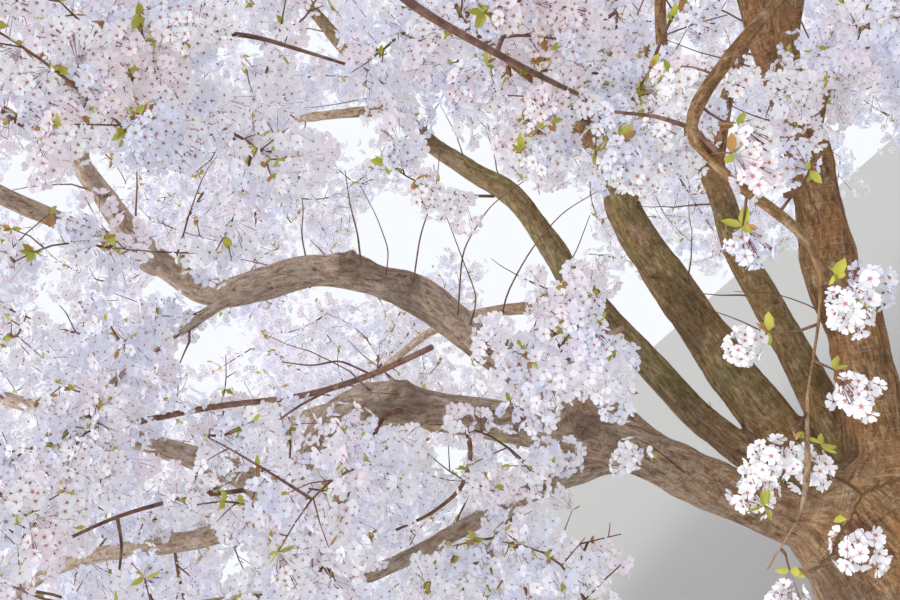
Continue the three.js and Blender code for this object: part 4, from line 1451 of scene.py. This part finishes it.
# Painted sunlight: bark grows paler to the left, where the limbs are sunlit: metres out where it starts, over
# how many, how much
PAINTED_SUN_FROM = 0.1
PAINTED_SUN_OVER = 0.5
PAINTED_SUN_MOST = 0.85

# How mossy the mossy stems, the trunk's foot up to its height, and the boughs are
MOSS_ON_STEMS = 0.8
MOSS_AT_FOOT, MOSSY_FOOT = 0.3, 0.5
MOSS_ON_BOUGHS = 0.5

# Stubs of lost boughs: (stem, share of its length, heading, rise, length, radius)
STUB_POINTS, STUB_SIDES = 8, 12
STUB_SWELL, STUB_FADE = 0.9, 3
STUBS = [("stem_twisted", 0.55, -60, 25, 0.09, 0.016), ("stem_right", 0.45, -150, 20, 0.07, 0.018),
         ("stem_left", 0.7, -100, 30, 0.08, 0.017), ("stem_right_middle", 0.35, -120, 15, 0.06, 0.016),
         ("stem_middle", 0.3, 170, 30, 0.07, 0.014)]

# Burls on the stems: (stem, share of its length, heading, rise, width, height)
BURLS = [("stem_twisted", 0.375, -50, 35, 0.065, 0.034), ("stem_twisted", 0.317, -80, 5, 0.055, 0.036),
         ("stem_twisted", 0.2, -70, 20, 0.06, 0.028), ("stem_left", 0.92, -50, 40, 0.055, 0.036),
         ("stem_left", 0.6, -60, 30, 0.05, 0.02), ("stem_right", 0.3, -120, 10, 0.06, 0.022),
         ("stem_right", 0.62, -100, 0, 0.045, 0.02), ("stem_right_middle", 0.3, -130, 20, 0.05, 0.02)]


def stem_tube(limb):
    """A stem's skin as a closed rod with a rounded end."""
    distance = rings_along(limb["length"], STEM_RINGS)
    radius = limb_radius(limb, distance)
    turn = np.radians(TIP_TURNS)
    distance = np.concatenate([distance, limb["length"] + np.sin(turn) * radius[-1] * TIP_BLUNT])
    radius = np.concatenate([radius, radius[-1] * np.cos(turn)])
    return sweep(limb["curve"].at(distance)[None], radius[None], STEM_SIDES)


def bole():
    """The trunk below its fork, with root lobes, from a flat cut at the ground."""
    sides, heights = BOLE_SIDES, np.linspace(0, TRUNK_CROTCH_HEIGHT, BOLE_RINGS)
    knots = [0, TRUNK_WAIST_HEIGHT, TRUNK_SHOULDER_HEIGHT, TRUNK_CROTCH_HEIGHT]
    radii = [TRUNK_WAIST, TRUNK_WAIST, TRUNK_WAIST * TRUNK_SHOULDER_SHARE, TRUNK_CROTCH]
    profile = np.interp(heights, knots, radii)
    angle = np.arange(sides) * math.tau / sides
    low = np.maximum(0, 1 - heights / TRUNK_WAIST_HEIGHT) ** 2
    lobe = 1 + ROOT_LOBE_SHARE * np.cos(ROOT_LOBES * angle + ROOT_LOBE_TURN)
    lobe += ROOT_OVAL_SHARE * np.cos(2 * angle)
    swell = 1 + ROOT_FLARE * low[:, None] * lobe / TRUNK_WAIST
    out = profile[:, None] * swell
    height = np.repeat(heights[:, None], sides, 1)
    places = np.stack([out * np.cos(angle), out * np.sin(angle), height], -1)
    places = np.vstack([places.reshape(-1, 3), [(0, 0, 0), (0, 0, TRUNK_CROTCH_HEIGHT)]])
    k = np.arange(sides)
    top = (len(heights) - 1) * sides
    foot, head = len(places) - 2, len(places) - 1
    floor_fan = np.stack([np.full(sides, foot), (k + 1) % sides, k], -1)
    top_fan = np.stack([np.full(sides, head), top + k, top + (k + 1) % sides], -1)
    return places, np.vstack([ring_faces(len(heights), sides), floor_fan, top_fan])


def stub_rods():
    """The stubs, each thicker at its foot."""
    rods = []
    for name, share, heading, rise, length, radius in STUBS:
        limb = limbs_by_name[name]
        distance = share * limb["length"]
        start = limb["curve"].at(distance)
        reach = limb_radius(limb, distance) + length
        out = np.linspace(0, reach, STUB_POINTS)
        path = start + direction(heading, rise) * out[:, None]
        swell = np.exp(-out / reach * STUB_FADE) * radius * STUB_SWELL
        rods.append(sweep(path[None], (radius + swell)[None], STUB_SIDES))
    return rods


def read_mesh(mesh):
    """A mesh's corners, triangles and edges as arrays."""
    places = np.empty(len(mesh.vertices) * 3, np.float32)
    mesh.vertices.foreach_get("co", places)
    mesh.calc_loop_triangles()
    triangles = np.empty(len(mesh.loop_triangles) * 3, np.int32)
    mesh.loop_triangles.foreach_get("vertices", triangles)
    edges = np.empty(len(mesh.edges) * 2, np.int32)
    mesh.edges.foreach_get("vertices", edges)
    return places.reshape(-1, 3).astype(float), triangles.reshape(-1, 3), edges.reshape(-1, 2)


def welded(parts):
    """One closed skin round parts that pass into one another."""
    rough = new_mesh("rough", *join_parts(parts))
    weld = rough.modifiers.new("weld", "REMESH")
    weld.mode = "VOXEL"
    weld.voxel_size = WELD_SIZE
    seen = rough.evaluated_get(bpy.context.evaluated_depsgraph_get())
    result = read_mesh(seen.to_mesh())
    seen.to_mesh_clear()
    bpy.data.objects.remove(rough)
    return result


def smoothed(places, edges, times):
    """Corners drawn part of the way to the middle of those beside them, some times over."""
    degree = np.bincount(edges.ravel(), minlength=len(places))[:, None]
    for _ in range(times):
        total = np.stack([np.bincount(edges[:, 0], places[edges[:, 1], k], len(places))
                          + np.bincount(edges[:, 1], places[edges[:, 0], k], len(places))
                          for k in range(3)], -1)
        places = places + (total / np.maximum(degree, 1) - places) * SMOOTHING_SHARE
    return places


def normals_of(places, triangles):
    """The way each corner faces."""
    a, b, c = (places[triangles[:, i]] for i in range(3))
    face = np.cross(b - a, c - a)
    total = np.stack([sum(np.bincount(triangles[:, i], face[:, k], len(places)) for i in range(3))
                      for k in range(3)], -1)
    return unit(total)


def skin_of_limb(limb, points):
    """Each point's distance out of the limb's skin, and its place on the unrolled bark."""
    knots = rings_along(limb["length"], SPINE_SPACING)
    spine = limb["curve"].at(knots)
    nearest = np.empty(len(points), int)
    for low in range(0, len(points), AT_ONCE):
        part = points[low:low + AT_ONCE]
        nearest[low:low + AT_ONCE] = (-2 * part @ spine.T + np.sum(spine * spine, 1)).argmin(1)
    tangent = limb["curve"].along(knots)[nearest]
    distance = knots[nearest] + np.sum((points - spine[nearest]) * tangent, 1)
    distance = np.clip(distance, 0, limb["length"])
    axis = limb["curve"].at(distance)
    along, side = limb["curve"].along(distance), limb["curve"].side(distance)
    away = points - axis
    other = np.cross(along, side)
    x, y = np.sum(away * side, 1), np.sum(away * other, 1)
    far = np.maximum(np.hypot(x, y), 1e-6)
    radius = limb_radius(limb, distance)
    place = np.stack([x / far * radius, y / far * radius, distance], -1)
    return np.linalg.norm(away, axis=1) - radius, place


def skin_of_bole(points):
    """The same for the bole, which ends where the stems' bark takes over."""
    x, y, height = points.T
    far = np.maximum(np.hypot(x, y), 1e-6)
    out = np.maximum(far - TRUNK_WAIST * BOLE_EDGE, height - TRUNK_WAIST_HEIGHT * BOLE_TOP)
    place = np.stack([x / far * TRUNK_WAIST, y / far * TRUNK_WAIST, height - 1], -1)
    return out, place


def skin_noise(skin, across, along, shift, seed):
    """Noise on the unrolled bark, by its cells to a metre across and along the limb."""
    return value_noise(skin * np.array([across, across, along]) + shift, seed)


def bark_relief(skin, limb):
    """How high the bark of one limb, by its number, stands in metres."""
    flutes = skin_noise(skin, 13, 2.2, limb * 7.3, 1)
    swells = skin_noise(skin, 7, 5.5, limb * 3.1, 2)
    plates = skin_noise(skin, 42, 8, limb * 5.7, 3)
    cracks = 1 - np.abs(skin_noise(skin, 34, 6.5, limb * 2.9, 4)) * 2.2
    ridges = skin_noise(skin, 9, 52, limb * 4.4, 6)
    lumps = np.maximum(skin_noise(skin, 11, 9, limb * 8.2, 7) - 0.15, 0)
    girth = np.clip(np.hypot(skin[:, 0], skin[:, 1]) / 0.08, 0.3, 1.7)
    height = flutes * FLUTES + swells * SWELLS + plates * PLATES + ridges * RIDGES + lumps * LUMPS
    return (height - np.maximum(cracks, 0) ** 3 * CRACKS) * girth


def lumps_of(places):
    """Small lumps that roughen the burls."""
    return value_noise(places * BURL_LUMPS, 15)


def burl_shares(places):
    """How far each point belongs to a burl, and how high the burls stand there."""
    share, height = np.zeros(len(places)), np.zeros(len(places))
    lumps = lumps_of(places)
    for name, along, heading, rise, width, most in BURLS:
        limb = limbs_by_name[name]
        distance = along * limb["length"]
        middle = limb["curve"].at(distance) + direction(heading, rise) * limb_radius(limb, distance)
        near = np.exp(-np.sum((places - middle) ** 2, axis=1) / width ** 2)
        share = np.maximum(share, near)
        height = np.maximum(height, near * most * (BURL_EVEN + BURL_UNEVEN * lumps))
    return share, height


def write_bark(piece, places, skin, relief, moss):
    """Gives each point what the bark's material reads there."""
    # Painted sunlight: a share of paler colour that grows to the left
    painted_sunlight = np.clip((-places[:, 0] - PAINTED_SUN_FROM) / PAINTED_SUN_OVER, 0, 1) * PAINTED_SUN_MOST
    # The relief as the material reads it, for the painted shade in the hollows
    shown = np.clip(relief / RELIEF_RANGE + 0.5, 0, 1)
    attributes = piece.data.attributes
    for name, values in (("painted_sunlight", painted_sunlight), ("relief", shown), ("moss", moss)):
        made = attributes.new(name, "FLOAT", "POINT")
        made.data.foreach_set("value", values.astype(np.float32))
    made = attributes.new("bark", "FLOAT_VECTOR", "POINT")
    made.data.foreach_set("vector", skin.astype(np.float32).ravel())


def build_stems(material):
    """The bole and the stems as one skin with its relief."""
    parts = [bole(), *map(stem_tube, STEMS), *stub_rods()]
    places, triangles, edges = welded(parts)
    places = smoothed(places, edges, SMOOTHINGS)
    normals = normals_of(places, triangles)
    places += normals * SMOOTHING_GAIN
    skins = [skin_of_bole(places)] + [skin_of_limb(limb, places) for limb in STEMS]
    out = np.stack([gap for gap, _ in skins], -1)
    weight = np.exp(-(out - out.min(1, keepdims=True)) / SEAM_WIDTH)
    weight /= weight.sum(1, keepdims=True)
    relief = np.zeros(len(places))
    for number, (_, skin) in enumerate(skins):
        relief += weight[:, number] * bark_relief(skin, number)
    burled, burl_height = burl_shares(places)
    relief += burl_height
    nearest = out.argmin(1)
    skin = np.stack([own for _, own in skins])[nearest, np.arange(len(places))]
    skin[:, 2] += nearest * STEM_BARK_SHIFT
    mossy = [False] + [limb["name"] in MOSSY_STEMS for limb in STEMS]
    north = np.clip(0.55 + 0.45 * normals[:, 1], 0, 1)
    moss = (weight @ np.array(mossy, float)) * MOSS_ON_STEMS
    moss += MOSS_AT_FOOT * north * (places[:, 2] < MOSSY_FOOT)
    moss = np.clip(moss * (0.75 + 0.5 * value_noise(places * 5, 9)), 0, 1)
    ground = places[:, 2] < WELD_SIZE * 0.8
    places += normals * (relief * np.clip(places[:, 2] / GROUND_FADE, 0, 1))[:, None]
    places[ground, 2] = 0
    places[:, 2] = np.maximum(places[:, 2], 0)
    piece = dress("bark_of_trunk_and_stems", [(places, triangles)], material)[0]
    # Painted shade between the burls' lumps, taken off the relief that the material reads so that the burls
    # look darker
    burl_shade = burled * BURL_PAINTED_SHADE * (1 - lumps_of(places))
    write_bark(piece, places, skin, relief - burl_height - burl_shade, moss)
    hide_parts("trunk", *[limb["name"] for limb in STEMS])


def bough_runs():
    """Each bough and each mass's stem as (curve, distances along it, radii, sides)."""
    runs = []
    for limb in BOUGHS:
        parent = limbs_by_name[limb["parent"]]
        rings = math.ceil(limb["length"] / BOUGH_RINGS) + 1
        distance = np.linspace(0, limb["length"] - SINK * 0.5, rings)
        inside = limb_radius(parent, min(limb["share"], 1) * parent["length"])
        collar = 1 + COLLAR * np.exp(-np.maximum(distance - inside, 0) / COLLAR_REACH)
        runs.append((limb["curve"], distance, limb_radius(limb, distance) * collar, BOUGH_SIDES))
    for mass in Mass.all:
        distance = rings_along(mass.length, MASS_STEM_RINGS)
        foot = mass.limb["tip"] - MASS_STEM_INSET
        shares, radii = [0, 1], [foot, MASS_STEM_TIP]
        if mass.limb["name"] in STRINGS:
            shares, radii = STRING_SHARES, [foot, foot * STRING_MIDDLE, *STRING_STEM_THICK]
        radius = np.interp(distance / mass.length, shares, radii)
        runs.append((mass.curve, distance, radius, MASS_STEM_SIDES))
    return runs


def build_boughs(material):
    """The boughs and the masses' stems as tubes with a knotty skin."""
    parts, skins, heights = [], [], []
    for number, (curve, distance, radius, sides) in enumerate(bough_runs()):
        places, triangles = sweep(curve.at(distance)[None], radius[None], sides)
        out = unit(places - np.repeat(curve.at(distance), sides, axis=0))
        angle = np.tile(np.arange(sides) * math.tau / sides, len(distance))
        far = np.repeat(radius, sides)
        skin = np.stack([np.cos(angle) * far, np.sin(angle) * far, np.repeat(distance, sides)], -1)
        knots = np.maximum(skin_noise(skin, 20, 14, number * 9.1, 8) - 0.25, 0)
        relief = bark_relief(skin, number + 20) + knots * np.minimum(far, 0.03) * BOUGH_KNOTS
        parts.append((places + out * relief[:, None], triangles))
        skins.append(skin + np.array([0, 0, number * BOUGH_BARK_SHIFT]))
        heights.append(relief)
    piece = dress("bark_of_boughs", parts, material)[0]
    places = np.vstack([part[0] for part in parts])
    moss = np.clip(value_noise(places * 3, 12), 0, 1) * MOSS_ON_BOUGHS
    write_bark(piece, places, np.vstack(skins), np.concatenate(heights), moss)
    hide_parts(*[limb["name"] for limb in BOUGHS])


# The petals' colours by tint, and the other soft parts: kind, name, colour and slot
PETAL_COLOURS = {"white": (248, 248, 253), "cool": (236, 239, 252), "blush": (247, 240, 247)}
# Painted glow: how much of their own colour the petals and the other soft parts emit, which brightens them
# like daylight through thin petals
PETAL_PAINTED_GLOW, SOFT_PAINTED_GLOW = 0.11, 0.04
SOFT_PARTS = (("heart", "rosy_hearts", (206, 134, 152), "blossom"),
              ("thread", "stamens", (238, 226, 168), "blossom"),
              ("calyx", "stalks", (134, 72, 62), "twig_bark"),
              ("leaf", "young_leaves", (196, 196, 88), "young_leaf"),
              ("bronze", "bronze_leaves", (190, 146, 92), "young_leaf"))


def build_twigs():
    """All twigs, which stand for the solids' masses."""
    twigs = [sweep(paths, radii, sides) for paths, radii, sides in growth.rods if len(paths)]
    for piece in dress("twigs", twigs, twig_material()):
        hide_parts(*["blossom_of_" + mass.limb["name"] for mass in Mass.all])


def build_blossom():
    """Petals by their tint, and the other soft parts."""
    kinds = blossom_parts(np.vstack(growth.clusters))
    for tint in TINTS:
        material = soft_material(f"petals_{tint}", PETAL_COLOURS[tint], 0.62, PETAL_PAINTED_GLOW)
        dress(f"petals_{tint}", kinds[tint], material)
    for kind, name, colour, slot in SOFT_PARTS:
        dress(name, kinds[kind], soft_material(name, colour, 0.55, SOFT_PAINTED_GLOW))


# The studio: a pale floor, an even pale light all round and two soft lamps, by their
# strength, whether they throw shadows, their colour and their way as shares of the
# camera's right, up and forward
FLOOR_SIZE = 900.0
FLOOR_COLOUR = (190, 189, 186)
WORLD_COLOUR = (0.945, 0.97, 1.0, 1.0)
WORLD_STRENGTH = 1.0
LAMP_ANGLE = 25
LAMPS = (("soft_key", 1.4, True, (1.0, 0.96, 0.9), (0.8, 0.1, 0.5)),
         ("soft_fill", 0.52, False, (1.0, 0.97, 0.94), (0.85, 0.5, 0.2)))
CLIP_START = 0.05


def build_floor():
    """A floor out to the horizon, which isn't part of the tree."""
    corners = np.array([(-1, -1, 0), (1, -1, 0), (1, 1, 0), (-1, 1, 0)]) * FLOOR_SIZE
    material = soft_material("pale_floor", FLOOR_COLOUR, 0.9)
    floor = new_mesh("floor", corners, np.array([(0, 1, 2), (0, 2, 3)]), material)


def light_studio():
    """The light all round and the lamps."""
    world = bpy.data.worlds.new("studio")
    world.use_nodes = True
    background = world.node_tree.nodes["Background"]
    background.inputs["Color"].default_value = WORLD_COLOUR
    background.inputs["Strength"].default_value = WORLD_STRENGTH
    bpy.context.scene.world = world
    right, up, forward = camera_axes()
    for name, energy, shadow, colour, (across, rise, ahead) in LAMPS:
        lamp = bpy.data.lights.new(name, "SUN")
        lamp.energy = energy
        lamp.angle = math.radians(LAMP_ANGLE)
        lamp.color = colour
        lamp.use_shadow = shadow
        light = bpy.data.objects.new(name, lamp)
        way = Vector((right * across + up * rise + forward * ahead).tolist())
        light.rotation_euler = way.to_track_quat("-Z", "Y").to_euler()
        bpy.context.scene.collection.objects.link(light)


def place_camera():
    """The camera at the viewpoint, with its pitch and its roll."""
    right, up, forward = camera_axes()
    lens = bpy.data.cameras.new("viewpoint")
    lens.lens = LENS
    lens.sensor_width = SENSOR
    lens.clip_start = CLIP_START
    camera = bpy.data.objects.new("viewpoint", lens)
    stand = np.column_stack([right, up, -forward, VIEWPOINT])
    camera.matrix_world = Matrix(np.vstack([stand, (0, 0, 0, 1)]).tolist())
    bpy.context.scene.collection.objects.link(camera)
    bpy.context.scene.camera = camera


bark = bark_material()
build_stems(bark)
build_boughs(bark)
build_twigs()
build_blossom()
build_floor()
light_studio()
place_camera()
bpy.context.scene.view_settings.view_transform = "Standard"
